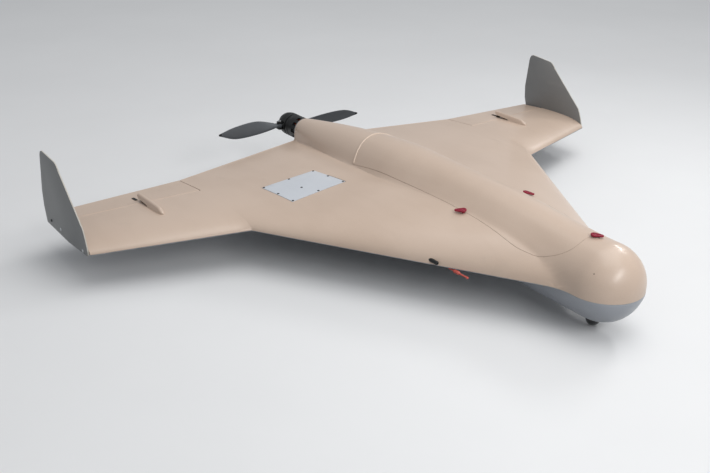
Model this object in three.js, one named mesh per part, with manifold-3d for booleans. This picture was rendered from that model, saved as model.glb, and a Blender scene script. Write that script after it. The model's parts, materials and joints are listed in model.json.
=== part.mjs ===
// Fixed wing drone: blended delta body, tip fins, elevons, and a folding pusher propeller.
// Millimetres. Nose towards -Y, span along X, +Z up. Starboard is -X, port is +X.
import * as THREE from 'three';
import { mergeVertices } from 'three/addons/utils/BufferGeometryUtils.js';
import Module from 'manifold-3d';

const wasm = await Module();
wasm.setup();

const { lerp, clamp, mapLinear, smoothstep, degToRad } = THREE.MathUtils;

// Clearances
const gap = 0.3;
const innerGap = 0.6;
const seamGap = 0.6;
const coveGap = 0.5;
const pinGap = 0.4;

// Wing planform
const halfSpan = 605;
const kinkX = 344;
const tipLeadY = -186.5;
const tipTrailY = 0;
const kinkLeadY = -274.5;
const kinkTrailY = -11;
const rootLeadX = 99;
const rootLeadY = -680;
const shoulderY = -748;

// Heights of the parting line, where the upper and lower skins meet
const noseEdgeZ = 5;
const kinkTrailZ = 13;
const tailEdgeZ = 14.5;
const tipLeadZ = -7;
const tipTrailZ = 2;
const edgeHalf = 0.8;

// Foil heights above and below the parting line, as shares of the chord
const upperRoot = 0.0755;
const upperKink = 0.06;
const upperTip = 0.07;
const lowerRoot = 0.042;
const lowerKink = 0.038;
const lowerTip = 0.034;
const flatShare = 0.4;

// Fuselage
const noseY = -771;
const noseR = 65;
const noseTurn = 5;
const bodyR = 77;
const swellFromY = -760;
const swellToY = -520;
const taperFromY = -300;
const taperPower = 1.5;
const tailY = 66;
const tailR = 26.5;
const tailFlare = 1.03;
const noseZ = 13;
const midY = -465;
const midZ = 15;
const tailZ = 29.5;
const bellyR = 57.5;
const bellyFromY = -700;
const bellyToY = -400;
const shoulderBlend = 18;
const tailBlend = 5;
const outlineBlend = 14;

// Shells
const skin = 2.5;
const lead = 3;
const trail = 8;

// Hatch in the top of the fuselage
const hatchRearY = -185;
const hatchRearX = 56;
const hatchSideX = 79;
const hatchSideY = -520;
const hatchTurnY = -655.8;
const hatchShoulderY = -743.3;
const hatchShoulderX = 43;
const hatchBrowX = 50.7;
const hatchFrontY = -736.2;
const hatchLugY = -740.5;
const hatchLugR = 8;
const hatchLipRise = 1.2;
const hatchLipLength = 5;
const frameWidth = 14;
const frameThick = 2.5;

// Quarter-turn latches
const latchHeadR = 6;
const latchTailR = 3;
const latchReach = 12;
const latchThick = 3.4;
const latchStemR = 2.4;
const latchInset = 4.5;
const latchLift = 1.8;
const latchStemLength = 9;

// Access panel on the starboard wing
const panelX = -192;
const panelY = -211.6;
const panelLength = 121.5;
const panelWidth = 96;
const panelTurn = 3;
const panelRise = 0.5;

// Elevons
const elevonInX = 345;
const hingeInY = -89;
const hingeOutY = -50;
const elevonSideGap = 1.5;
const hingeRodR = 1.2;
const hingeRodSeat = 9;

// Elevon linkage
const linkShare = 0.408;
const linkAside = 1.2;
const servoPivotY = -134;
const armLength = 14.5;
const armR = 2.2;
const armThick = 1.8;
const linkPinR = 0.8;
const linkSideGap = 1.3;
const pushrodR = 1;
const hornThick = 1.6;
const hornFootLength = 10;
const hornRelief = 1.8;
const slotHalfLength = 10;
const slotHalfWidth = 3;
const servoLength = 24;
const servoDepth = 22;
const servoHeight = 10;
const servoShaftInset = 6;
const fairingFrontY = -153;
const fairingRearY = -58;
const fairingWidth = 16;
const fairingFrontRise = 8.5;
const fairingRearRise = 14;
const fairingWall = 1.4;
const elevonLimit = 25;

// Tip fins
const finThick = 2.5;
const finHeight = 127;
const finFootFrontY = -182;
const finFootZ = -12;

// Structure
const sparR = 6;
const sparBore = 4.8;
const sparY = -165;
const sparRootX = 4;
const sparRootZ = 22;
const sparEndX = 520;
const sparTipZ = 2;
const blockHalfX = 26;
const blockHalfY = 11;
const blockHalfZ = 12;
const rootRibX = 108;
const kinkRibX = 330;
const ribThick = 3;
const ribEndY = -20;
const formerThick = 4;
const noseFormerY = -706;
const bayFormerY = -196;
const formerTopZ = 18;
const formerSideX = 104;
const bulkheadY = 50;
const bulkheadThick = 6;
const trayZ = -34;
const trayThick = 2.5;

// Equipment, as width, length along Y and height
const trayEndY = -345;
const tailTrayZ = -2;
const tailTrayFromY = -80;
const batterySize = [56, 150, 46];
const batteryY = -600;
const strapWidth = 22;
const strapThick = 1.2;
const controllerSize = [38, 60, 18];
const controllerY = -476;
const radioSize = [32, 48, 13];
const radioY = -412;
const speedSize = [28, 56, 12];
const speedY = -30;
const antennaSide = 58;
const antennaThick = 12;
const antennaDrop = 2;

// Camera under the nose
const domeY = -758.5;
const domeZ = -59;
const domeR = 12;
const domeWall = 1.5;
const domeTopZ = -44;
const cameraSide = 26;
const lensR = 7;
const shelfZ = -22;
const shelfFromY = -815;

// Belly shoe, where a stand is screwed on
const shoeY = -310;
const shoeLength = 190;
const shoeWidth = 52;
const shoeZ = -46.5;
const shoeTopZ = -20;
const shoeBoreR = 4.8;

// Motor, with lengths measured back from the tail end
const collarLength = 4;
const collarR = 25.5;
const motorR = 24.5;
const bellWall = 2;
const statorEnd = 32;
const statorTubeR = 7;
const statorFlangeR = 16;
const windingOuterR = 21.2;
const windingFrom = 9;
const windingTo = 31;
const windingCount = 12;
const windingLobe = 1.3;
const bellFrom = 7;
const bellTo = 42;
const bellEndThick = 5;
const slotCount = 10;
const slotWidth = 8;
const slotLength = 10;
const shaftR = 2.5;

// Propeller
const spinnerFrom = 44.5;
const spinnerCylinder = 10;
const spinnerLength = 41;
const spinnerWall = 1.6;
const spinnerBackThick = 2.5;
const windowHalfLength = 10;
const windowInX = 15;
const propPlane = 57;
const bladeTipR = 180;
const bladePivotR = 28;
const bladeRootR = 6;
const bladeRootThick = 8;
const bladeNeckR = 34;
const bladeNeckHalf = 5;
const bladeWideR = 84;
const bladeWideAft = 15.5;
const bladeWideFore = 12.5;
const bladeOuterR = 140;
const bladeOuterAft = 11;
const bladeOuterFore = 14.6;
const bladeTipAft = 1.5;
const bladeTipFore = 3;
const bladeRake = 4;
const bladeLean = 60;
const bladePitch = 200;
const bladeThin = 0.11;
const yokeHalfX = 19;
const yokeHalfY = 6.5;
const yokeHalfZ = 7.5;
const boltR = 1.9;
const boltHeadR = 3.6;
const boltHeadThick = 2.6;
const propRoll = 2.5;

// Small fittings on the starboard leading edge
const probeX = -172;
const probeFromY = -540;
const probeR = 3.3;
const probeLength = 30;
const probeZ = 11;
const pinX = -152;
const pinZ = 0;
const pinFromY = -576;
const pinR = 1.6;
const pinLength = 41;
const pinHeadR = 3;
const pinHeadLength = 5;

// Rows and columns of the body's surface in each of its zones
const noseCount = 6;
const frontCount = 9;
const chordCount = 8;
const tailCount = 6;
const humpCount = 5;
const edgeCount = 4;
const panelCount = 2;

// Smooth shape helpers

function smoothMax(a, b, width) {
  const h = Math.max(width - Math.abs(a - b), 0) / width;
  return Math.max(a, b) + h * h * width * 0.25;
}

function smoothMin(a, b, width) {
  return -smoothMax(-a, -b, width);
}

// Half thickness of a foil along its chord: 0 at both ends and 1 at its fattest
function foil(t) {
  if (t <= 0 || t >= 1) return 0;
  const thickness = 0.2969 * Math.sqrt(t) - 0.126 * t - 0.3516 * t ** 2 + 0.2843 * t ** 3 - 0.1036 * t ** 4;
  return 10 * thickness;
}

// The same for the underside, which leaves the leading edge at a flat angle
function lowerFoil(t) {
  const rest = 1 - Math.min(t / flatShare, 1);
  return foil(t) * Math.sqrt(Math.max(1 - rest * rest, 0));
}

// Height of a circle above its centre at a distance from it, falling steeply outside
function arch(radius, distance) {
  if (distance < radius) return Math.sqrt(radius ** 2 - distance ** 2);
  return (radius - distance) * 4;
}

// Wing outline at a distance from the centre plane

function leadY(side) {
  if (side > kinkX) return mapLinear(side, kinkX, halfSpan, kinkLeadY, tipLeadY);
  return Math.max(mapLinear(side, kinkX, rootLeadX, kinkLeadY, rootLeadY), shoulderY);
}

function trailY(side) {
  if (side > kinkX) return mapLinear(side, kinkX, halfSpan, kinkTrailY, tipTrailY);
  return mapLinear(side, kinkX, 0, kinkTrailY, tailY);
}

function chordShare(side, y, inset = 0) {
  const from = leadY(side) + lead * inset;
  const to = trailY(side) - trail * inset;
  return (y - from) / (to - from);
}

function alongSpan(side, root, kink, tip) {
  if (side > kinkX) return mapLinear(side, kinkX, halfSpan, kink, tip);
  return mapLinear(side, 0, kinkX, root, kink);
}

function partingZ(side, y) {
  const t = clamp((y - kinkLeadY) / (kinkTrailY - kinkLeadY), 0, 1);
  if (side <= kinkX) {
    if (y > kinkTrailY) return mapLinear(y, kinkTrailY, tailY, kinkTrailZ, tailEdgeZ);
    return lerp(noseEdgeZ, kinkTrailZ, t);
  }
  const share = chordShare(side, y);
  const outward = (side - kinkX) / (halfSpan - kinkX);
  return lerp(lerp(noseEdgeZ, kinkTrailZ, share), lerp(tipLeadZ, tipTrailZ, share), outward);
}

// Fuselage sections along Y

function axisZ(y) {
  if (y < midY) return mapLinear(Math.max(y, noseY), noseY, midY, noseZ, midZ);
  return mapLinear(y, midY, tailY, midZ, tailZ);
}

function noseRadius(y, inset) {
  return Math.sqrt(Math.max((noseR - inset) ** 2 - (y - noseY) ** 2, 0));
}

function taper(y, radius) {
  if (y < taperFromY) return radius;
  return radius - (radius - tailR) * ((y - taperFromY) / (tailY - taperFromY)) ** taperPower;
}

function topRadius(y, inset) {
  if (y < noseY) return noseRadius(y, inset);
  return taper(y, lerp(noseR, bodyR, smoothstep(y, swellFromY, swellToY))) - inset;
}

function bellyRadius(y, inset) {
  if (y < noseY) return noseRadius(y, inset);
  return taper(y, lerp(noseR, bellyR, smoothstep(y, bellyFromY, bellyToY))) - inset;
}

function blendWidth(y) {
  return lerp(shoulderBlend, tailBlend, smoothstep(y, taperFromY, tailY));
}

// Heights of the whole body's upper and lower surfaces, or of surfaces drawn in by an inset

function upperZ(x, y, inset = 0) {
  const side = Math.abs(x);
  const edge = partingZ(side, y);
  const share = alongSpan(side, upperRoot, upperKink, upperTip);
  const chord = trailY(side) - leadY(side);
  const wing = edge + Math.max(chord * share * foil(chordShare(side, y, inset)) - inset, 0);
  const hump = axisZ(y) + arch(topRadius(y, inset), side);
  return Math.max(smoothMax(wing, hump, blendWidth(y)), edge + edgeHalf);
}

function lowerZ(x, y, inset = 0) {
  const side = Math.abs(x);
  const edge = partingZ(side, y);
  const share = alongSpan(side, lowerRoot, lowerKink, lowerTip);
  const chord = trailY(side) - leadY(side);
  const wing = edge - Math.max(chord * share * lowerFoil(chordShare(side, y, inset)) - inset, 0);
  const belly = axisZ(y) - arch(bellyRadius(y, inset), side);
  return Math.min(smoothMin(wing, belly, blendWidth(y)), edge - edgeHalf);
}

// Half width of the outline at a row, drawn in by the inset at the leading and trailing edges

function sweptHalf(y, inset) {
  const radius = topRadius(y, inset);
  if (y < noseY) return radius;
  const swept = mapLinear(y, rootLeadY, kinkLeadY, rootLeadX, kinkX) - lead * inset;
  return smoothMax(radius, swept, outlineBlend);
}

function tailHalf(y, inset) {
  const radius = topRadius(y, inset);
  const above = inset > 0 ? axisZ(y) - tailEdgeZ : 0;
  const round = inset > 0 ? Math.sqrt(Math.max(radius ** 2 - above ** 2, 1)) : tailFlare * radius;
  const swept = mapLinear(y, kinkTrailY - trail * inset, tailY - trail * inset, kinkX, 0);
  return Math.max(round, swept);
}

// Rows of the body from nose to tail. A wing row runs on into both outer panels.
function bodyRows(inset) {
  const rows = [];
  const add = (y, half, wing) => rows.push({ y, half, wing });
  for (let i = 0; i <= noseCount; i += 1) {
    const angle = lerp(degToRad(noseTurn), Math.PI / 2, i / noseCount);
    const y = noseY - (noseR - inset) * Math.cos(angle);
    add(y, sweptHalf(y, inset), false);
  }
  const wingFromY = kinkLeadY + lead * inset;
  const wingToY = kinkTrailY - trail * inset;
  for (let i = 1; i < frontCount; i += 1) {
    const y = lerp(noseY, wingFromY, (i / frontCount) ** 1.25);
    add(y, sweptHalf(y, inset), false);
  }
  for (let i = 0; i <= chordCount; i += 1) {
    const y = lerp(wingFromY, wingToY, 1 - Math.cos((i / chordCount) * Math.PI / 2));
    add(y, kinkX, true);
  }
  const endY = inset > 0 ? tailY + 2 : tailY;
  for (let i = 1; i < tailCount; i += 1) {
    const half = kinkX * ((tailFlare * tailR) / kinkX) ** (i / (tailCount - 1));
    const y = mapLinear(half, kinkX, 0, wingToY, tailY - trail * inset);
    add(y, tailHalf(y, inset), false);
  }
  add(endY, tailHalf(endY, inset), false);
  return rows;
}

// Points of one row from starboard to port, closer together at the shoulder and at the edge
function rowPoints(row, inset) {
  const shoulder = Math.min(1.1 * topRadius(row.y, inset), 0.86 * row.half);
  const points = [{ x: 0, y: row.y }];
  const addPair = (x, y) => {
    points.push({ x, y });
    points.unshift({ x: -x, y });
  };
  for (let i = 1; i <= humpCount; i += 1) {
    addPair(shoulder * Math.sin((i / humpCount) * Math.PI / 2), row.y);
  }
  for (let i = 1; i <= edgeCount; i += 1) {
    addPair(lerp(row.half, shoulder, (1 - i / edgeCount) ** 2), row.y);
  }
  if (row.wing) {
    const share = (row.y - kinkLeadY) / (kinkTrailY - kinkLeadY);
    const tipX = halfSpan - lead * inset;
    for (let i = 1; i <= panelCount; i += 1) {
      const x = lerp(kinkX, tipX, i / panelCount);
      addPair(x, lerp(leadY(x), trailY(x), share));
    }
  }
  return points;
}

// Closed body between the upper and lower surfaces, drawn in by an inset
function hullSolid(inset) {
  const rows = bodyRows(inset);
  const vertices = [];
  const faces = [];
  const addVertex = (x, y, z) => vertices.push(x, y, z) / 3 - 1;
  const quad = (a, b, c, d) => faces.push(a, b, c, a, c, d);
  const grid = rows.map((row) => rowPoints(row, inset).map(({ x, y }) => ({
    top: addVertex(x, y, upperZ(x, y, inset)),
    low: addVertex(x, y, lowerZ(x, y, inset)),
  })));
  const middle = humpCount + edgeCount;
  const node = (i, column) => grid[i][(grid[i].length - 1) / 2 + column];
  const reach = (i) => (grid[i].length - 1) / 2;
  for (let i = 0; i + 1 < rows.length; i += 1) {
    const span = Math.min(reach(i), reach(i + 1));
    for (let c = -span; c < span; c += 1) {
      const [a, b, d, e] = [node(i, c), node(i, c + 1), node(i + 1, c + 1), node(i + 1, c)];
      quad(a.top, b.top, d.top, e.top);
      quad(e.low, d.low, b.low, a.low);
    }
  }
  const first = rows.findIndex((row) => row.wing);
  const last = rows.findLastIndex((row) => row.wing);
  const outer = middle + panelCount;
  const port = [];
  for (let i = 1; i <= first; i += 1) port.push([i, middle]);
  for (let c = middle + 1; c <= outer; c += 1) port.push([first, c]);
  for (let i = first + 1; i <= last; i += 1) port.push([i, outer]);
  for (let c = outer - 1; c >= middle; c -= 1) port.push([last, c]);
  for (let i = last + 1; i < rows.length; i += 1) port.push([i, middle]);
  const rim = [];
  for (let c = -middle; c <= middle; c += 1) rim.push([0, c]);
  rim.push(...port);
  for (let c = middle - 1; c > -middle; c -= 1) rim.push([rows.length - 1, c]);
  rim.push(...port.map(([i, c]) => [i, -c]).reverse());
  rim.forEach((place, i) => {
    const a = node(...place);
    const b = node(...rim[(i + 1) % rim.length]);
    quad(a.low, b.low, b.top, a.top);
  });
  return meshSolid(vertices, faces);
}

// Conversions between three.js geometries and solids

function meshSolid(vertices, faces) {
  return new wasm.Manifold(new wasm.Mesh({
    numProp: 3,
    vertProperties: new Float32Array(vertices),
    triVerts: new Uint32Array(faces),
  }));
}

function solid(geometry) {
  const bare = geometry.clone();
  bare.deleteAttribute('normal');
  bare.deleteAttribute('uv');
  const merged = mergeVertices(bare, 1e-4);
  return meshSolid(merged.attributes.position.array, merged.index.array);
}

function geometryOf(shape) {
  const mesh = shape.getMesh();
  const geometry = new THREE.BufferGeometry();
  geometry.setAttribute('position', new THREE.BufferAttribute(mesh.vertProperties, 3));
  geometry.setIndex(new THREE.BufferAttribute(mesh.triVerts, 1));
  geometry.computeVertexNormals();
  return geometry;
}

function boxSolid(x0, x1, y0, y1, z0, z1) {
  const box = new THREE.BoxGeometry(Math.abs(x1 - x0), Math.abs(y1 - y0), Math.abs(z1 - z0));
  box.translate((x0 + x1) / 2, (y0 + y1) / 2, (z0 + z1) / 2);
  return solid(box);
}

// Upright prism over a plan outline
function prism(shape, z0, z1, curveSegments = 8) {
  const geometry = new THREE.ExtrudeGeometry(shape, { depth: z1 - z0, bevelEnabled: false, curveSegments });
  geometry.translate(0, 0, z0);
  return solid(geometry);
}

// Prism along X over an outline drawn in Y and Z
function sidePrism(shape, x0, x1, curveSegments = 8) {
  const geometry = new THREE.ExtrudeGeometry(shape, { depth: x1 - x0, bevelEnabled: false, curveSegments });
  geometry.applyMatrix4(new THREE.Matrix4().set(0, 0, 1, x0, 1, 0, 0, 0, 0, 1, 0, 0, 0, 0, 0, 1));
  return solid(geometry);
}

// Round bar or cone from one point to another
function barGeometry(from, to, fromR, toR = fromR, sides = 16) {
  const run = new THREE.Vector3().subVectors(to, from);
  const bar = new THREE.CylinderGeometry(toR, fromR, run.length(), sides);
  bar.applyQuaternion(new THREE.Quaternion().setFromUnitVectors(new THREE.Vector3(0, 1, 0), run.normalize()));
  bar.translate((from.x + to.x) / 2, (from.y + to.y) / 2, (from.z + to.z) / 2);
  return bar;
}

function bar(from, to, fromR, toR = fromR, sides = 16) {
  return solid(barGeometry(from, to, fromR, toR, sides));
}

function polygon(points) {
  return new THREE.Shape(points.map(([x, y]) => new THREE.Vector2(x, y)));
}

// Materials

function paint(color, roughness, metalness = 0) {
  return new THREE.MeshStandardMaterial({ color, roughness, metalness });
}

const sand = paint(0xcdb9a5, 0.42);
const paleBlue = paint(0x9aa2aa, 0.5);
const finGrey = paint(0x82888b, 0.55);
const panelWhite = paint(0xcfd6dc, 0.5);
const crimson = paint(0x9c1a32, 0.25);
const black = paint(0x17181a, 0.45);
const bladeGrey = paint(0x3f4347, 0.4);
const copper = paint(0xb06a3c, 0.35, 0.9);
const steel = paint(0xb8bcc0, 0.3, 1);
const carbon = paint(0x22252a, 0.4);
const plywood = paint(0xc9a878, 0.7);
const board = paint(0x2c5a46, 0.6);
const wrap = paint(0x2f4f9a, 0.35);
const red = paint(0xc8322c, 0.4);
const smoked = paint(0x101214, 0.1);

const airframe = new THREE.Group();

function addMesh(name, geometry, material, parent = airframe) {
  const mesh = new THREE.Mesh(geometry, material);
  mesh.name = name;
  parent.add(mesh);
  return mesh;
}

function addSolid(name, shape, material, parent = airframe) {
  return addMesh(name, geometryOf(shape), material, parent);
}

// Common solids

const far = 1000;

// Block from far below up to the parting line, moved up or down by a shift
function underParting(shift) {
  const columns = [-far];
  for (let i = 4; i >= 0; i -= 1) columns.push(-lerp(kinkX, halfSpan, i / 4));
  for (let i = 0; i <= 4; i += 1) columns.push(lerp(kinkX, halfSpan, i / 4));
  columns.push(far);
  const rows = [-far, kinkLeadY, kinkTrailY, tailY, far];
  const vertices = [];
  const faces = [];
  const addVertex = (x, y, z) => vertices.push(x, y, z) / 3 - 1;
  const quad = (a, b, c, d) => faces.push(a, b, c, a, c, d);
  const grid = rows.map((y) => columns.map((x) => ({
    top: addVertex(x, y, partingZ(Math.min(Math.abs(x), halfSpan), y) + shift),
    low: addVertex(x, y, -far),
  })));
  const m = rows.length - 1;
  const n = columns.length - 1;
  for (let i = 0; i < m; i += 1) {
    for (let c = 0; c < n; c += 1) {
      const [a, b, d, e] = [grid[i][c], grid[i][c + 1], grid[i + 1][c + 1], grid[i + 1][c]];
      quad(a.top, b.top, d.top, e.top);
      quad(e.low, d.low, b.low, a.low);
    }
  }
  const wall = (a, b) => quad(a.low, b.low, b.top, a.top);
  for (let c = 0; c < n; c += 1) {
    wall(grid[0][c], grid[0][c + 1]);
    wall(grid[m][c + 1], grid[m][c]);
  }
  for (let i = 0; i < m; i += 1) {
    wall(grid[i][n], grid[i + 1][n]);
    wall(grid[i + 1][0], grid[i][0]);
  }
  return meshSolid(vertices, faces);
}

const body = hullSolid(0);
const tailEnd = boxSolid(-far, far, tailY - skin, far, -far, far);
const hollow = [-skin / 2, skin / 2].reduce(
  (rest, shift) => rest.intersect(body.translate([shift, 0, 0]).add(tailEnd)),
  hullSolid(skin),
);
const inside = [-gap, gap].reduce(
  (rest, shift) => rest.intersect(hollow.translate([0, 0, shift])),
  hullSolid(skin + innerGap),
);

// Body cut straight across between two planes, inside the skins
function slice(x0, x1, y0, y1, z0, z1) {
  return inside.intersect(boxSolid(x0, x1, y0, y1, z0, z1));
}

// Hatch outline in plan with the lug of its front latch, grown by an offset, as an upright prism
function hatchPrism(offset, z0 = formerTopZ) {
  const grow = (x) => x + offset;
  const shape = new THREE.Shape();
  shape.moveTo(-grow(hatchRearX), hatchRearY + offset);
  shape.lineTo(-grow(hatchSideX), hatchSideY);
  shape.lineTo(-grow(hatchSideX), hatchTurnY);
  const shoulder = [grow(hatchShoulderX), hatchShoulderY];
  const brow = [grow(hatchBrowX), hatchFrontY - offset];
  shape.bezierCurveTo(-shoulder[0], shoulder[1], -brow[0], brow[1], 0, hatchFrontY - offset);
  shape.bezierCurveTo(...brow, ...shoulder, grow(hatchSideX), hatchTurnY);
  shape.lineTo(grow(hatchSideX), hatchSideY);
  shape.lineTo(grow(hatchRearX), hatchRearY + offset);
  shape.closePath();
  const lug = new THREE.Shape();
  lug.absarc(0, hatchLugY, hatchLugR + offset, 0, 2 * Math.PI, false);
  return prism(shape, z0, far, 7).add(prism(lug, z0, far));
}

// Access panel outline in plan, grown by an offset
function panelBlock(offset, z0, z1) {
  const box = new THREE.BoxGeometry(panelLength + 2 * offset, panelWidth + 2 * offset, z1 - z0);
  box.rotateZ(degToRad(panelTurn));
  box.translate(panelX, panelY, (z0 + z1) / 2);
  return solid(box);
}

// Elevon hinge: its centre at a distance from the centre plane, and the wing's half thickness there

const hingeEnds = [[kinkX, hingeInY], [halfSpan, hingeOutY]].map(([x, y]) => ({
  y,
  z: (upperZ(x, y) + lowerZ(x, y)) / 2,
  radius: (upperZ(x, y) - lowerZ(x, y)) / 2,
}));

function hingeShare(side, key) {
  return mapLinear(side, kinkX, halfSpan, hingeEnds[0][key], hingeEnds[1][key]);
}

function hingeAt(sign, side) {
  return new THREE.Vector3(sign * side, hingeShare(side, 'y'), hingeShare(side, 'z'));
}

// Everything behind the hinge line, and the rounded nose about it
function elevonZone(sign, grow, sideGrow) {
  const [inX, outX] = [elevonInX - sideGrow, halfSpan + sideGrow + 1];
  const [from, to] = [hingeAt(sign, inX), hingeAt(sign, outX)];
  const behind = polygon([[from.x, from.y], [to.x, to.y], [to.x, far], [from.x, far]]);
  const [rootX, tipX] = [inX - 20, outX + 20];
  const nose = bar(
    hingeAt(sign, rootX),
    hingeAt(sign, tipX),
    hingeShare(rootX, 'radius') + grow,
    hingeShare(tipX, 'radius') + grow,
    24,
  );
  const reach = boxSolid(from.x, to.x, -far, far, -far, far);
  return prism(behind, -far, far).add(nose).intersect(reach);
}

function hingeRod(sign, radius, extra = 0) {
  const from = hingeAt(sign, elevonInX - hingeRodSeat - extra);
  const to = hingeAt(sign, halfSpan - gap + 2 * extra);
  return bar(from, to, radius, radius, 10);
}

// Linkage points on one side

const linkX = lerp(elevonInX, halfSpan, linkShare);

function linkPoints(sign) {
  const x = sign * (linkX - linkAside);
  const hinge = hingeAt(sign, linkX - linkAside);
  const servoZ = (upperZ(x, servoPivotY) + lowerZ(x, servoPivotY)) / 2;
  const servo = new THREE.Vector3(x, servoPivotY, servoZ);
  const rise = new THREE.Vector3(0, 0, armLength);
  return { hinge, servo, arm: servo.clone().add(rise), horn: hinge.clone().add(rise) };
}

// Latch places on the hatch edge, with the surface's height and normal

function surfaceNormal(x, y) {
  const step = 4;
  const dx = (upperZ(x + step, y) - upperZ(x - step, y)) / (2 * step);
  const dy = (upperZ(x, y + step) - upperZ(x, y - step)) / (2 * step);
  return new THREE.Vector3(-dx, -dy, 1).normalize();
}

function latchPlace(name, x, y, turn) {
  return { name, point: new THREE.Vector3(x, y, upperZ(x, y)), normal: surfaceNormal(x, y), turn };
}

const latchPlaces = [
  latchPlace('front', 0, hatchLugY, -55),
  latchPlace('starboard', latchInset - hatchSideX, hatchSideY, 145),
  latchPlace('port', hatchSideX - latchInset, hatchSideY, -60),
];

function withoutLatchBores(shape) {
  return latchPlaces.reduce((rest, { point, normal }) => {
    const from = point.clone().addScaledVector(normal, -3 * latchStemLength);
    const to = point.clone().addScaledVector(normal, latchStemLength);
    return rest.subtract(bar(from, to, latchStemR + pinGap, latchStemR + pinGap, 12));
  }, shape);
}

// Skins

function bodyShell() {
  const sides = [-1, 1];
  const webs = sides.map((sign) => elevonZone(sign, 3 * skin, 4 * skin));
  const cavity = webs.reduce((rest, web) => rest.subtract(web), hollow);
  const cuts = sides.flatMap((sign) => [
    elevonZone(sign, coveGap, elevonSideGap),
    hingeRod(sign, hingeRodR + gap, gap),
  ]);
  return cuts.reduce((rest, cut) => rest.subtract(cut), body.subtract(cavity));
}

function pinBar(radius, extra = 0) {
  const from = new THREE.Vector3(pinX, pinFromY + extra, pinZ);
  return bar(from, new THREE.Vector3(pinX, pinFromY - pinLength - extra, pinZ), radius, radius, 10);
}

function probeBar(radius, extra = 0) {
  const from = new THREE.Vector3(probeX, probeFromY + extra, probeZ);
  const to = new THREE.Vector3(probeX, probeFromY - probeLength - extra, probeZ);
  return bar(from, to, radius, radius, 14);
}

function addSkins() {
  const shell = bodyShell().subtract(probeBar(probeR + gap, gap));
  const above = shell.subtract(underParting(gap / 2));
  let upper = above.subtract(hatchPrism(seamGap)).subtract(panelBlock(seamGap, 0, far));
  [-1, 1].forEach((sign) => {
    const { x, y, z } = linkPoints(sign).servo;
    const [w, l] = [slotHalfWidth, slotHalfLength];
    upper = upper.subtract(boxSolid(x - w, x + w, y - l, y + l, z, far));
  });
  addSolid('upper_skin', upper, sand);

  const [holeFrom, holeTo] = [-far, 0].map((z) => new THREE.Vector3(0, domeY, z));
  const domeHole = bar(holeFrom, holeTo, domeR + gap, domeR + gap, 24);
  const below = shell.intersect(underParting(-gap / 2));
  addSolid('lower_skin', below.subtract(domeHole).subtract(pinBar(pinR + pinGap, gap)), paleBlue);

  const lipFrom = hatchRearY - hatchLipLength;
  const lip = body.translate([0, 0, hatchLipRise])
    .intersect(hatchPrism(0))
    .intersect(boxSolid(-far, far, lipFrom, hatchRearY, formerTopZ, far))
    .subtract(hollow);
  const cover = above.intersect(hatchPrism(0)).add(lip);
  addSolid('hatch_cover', withoutLatchBores(cover), sand);
  const panel = above.intersect(panelBlock(0, 0, far)).translate([0, 0, panelRise]);
  addSolid('access_panel', panel, panelWhite);
}

// Frames that the hatch edge and the access panel rest on, bonded under the upper skin
function addFrames() {
  const layer = inside.subtract(hullSolid(skin + innerGap + frameThick));
  const half = frameWidth / 2;
  const ring = hatchPrism(half).subtract(hatchPrism(-half, 0));
  addSolid('hatch_frame', withoutLatchBores(layer.intersect(ring)), carbon);
  const panelRing = panelBlock(half, formerTopZ, far).subtract(panelBlock(-half, 0, far));
  addSolid('panel_frame', layer.intersect(panelRing), carbon);
}

// Latches: a teardrop tab with its stem through the hatch edge
function addLatch({ name, point, normal, turn }) {
  const tab = new THREE.Shape();
  const lean = Math.acos((latchHeadR - latchTailR) / latchReach);
  tab.absarc(0, 0, latchHeadR, lean, 2 * Math.PI - lean, false);
  tab.absarc(latchReach, 0, latchTailR, -lean, lean, false);
  tab.closePath();
  const stem = bar(
    new THREE.Vector3(0, 0, -latchStemLength),
    new THREE.Vector3(0, 0, latchThick / 2),
    latchStemR,
    latchStemR,
    12,
  );
  const latch = addSolid(`latch_${name}`, prism(tab, 0, latchThick, 7).add(stem), crimson);
  latch.position.copy(point).addScaledVector(normal, latchLift);
  const up = new THREE.Vector3(0, 0, 1);
  latch.quaternion.setFromUnitVectors(up, normal);
  latch.quaternion.multiply(new THREE.Quaternion().setFromAxisAngle(up, degToRad(turn)));
}

// Elevons, their hinge rods and the linkage of each side

function addElevon(sign, label) {
  const slab = boxSolid(sign * elevonInX, sign * (halfSpan - elevonSideGap), -far, far, -far, far);
  const elevon = body.intersect(elevonZone(sign, 0, 0)).intersect(slab);
  addSolid(`elevon_${label}`, elevon.subtract(hingeRod(sign, hingeRodR + gap, 5)), sand);
  addSolid(`hinge_rod_${label}`, hingeRod(sign, hingeRodR), steel);
}

function addServo(sign, label) {
  const { servo } = linkPoints(sign);
  const faceX = servo.x - sign * (armThick / 2 + 1.2);
  const front = servo.y - servoShaftInset;
  const [low, high] = [servo.z - servoHeight / 2, servo.z + servoHeight / 2];
  const housing = boxSolid(faceX, faceX - sign * servoDepth, front, front + servoLength, low, high);
  const inner = servo.clone().setX(faceX - sign);
  const outer = servo.clone().setX(faceX + sign * (1.2 - gap));
  addSolid(`servo_${label}`, housing.add(bar(inner, outer, 3, 3, 14)), black);
}

// Flat link with round ends between two points of a side view
function linkPlate(from, to, radius, x0, x1) {
  const lean = Math.atan2(to.z - from.z, to.y - from.y);
  const shape = new THREE.Shape();
  shape.absarc(to.y, to.z, radius, lean - Math.PI / 2, lean + Math.PI / 2, false);
  shape.absarc(from.y, from.z, radius, lean + Math.PI / 2, lean + 1.5 * Math.PI, false);
  shape.closePath();
  return sidePrism(shape, x0, x1, 6);
}

function acrossBar(place, halfLength, radius, sides = 10) {
  const side = new THREE.Vector3(halfLength, 0, 0);
  return bar(place.clone().sub(side), place.clone().add(side), radius, radius, sides);
}

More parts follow.
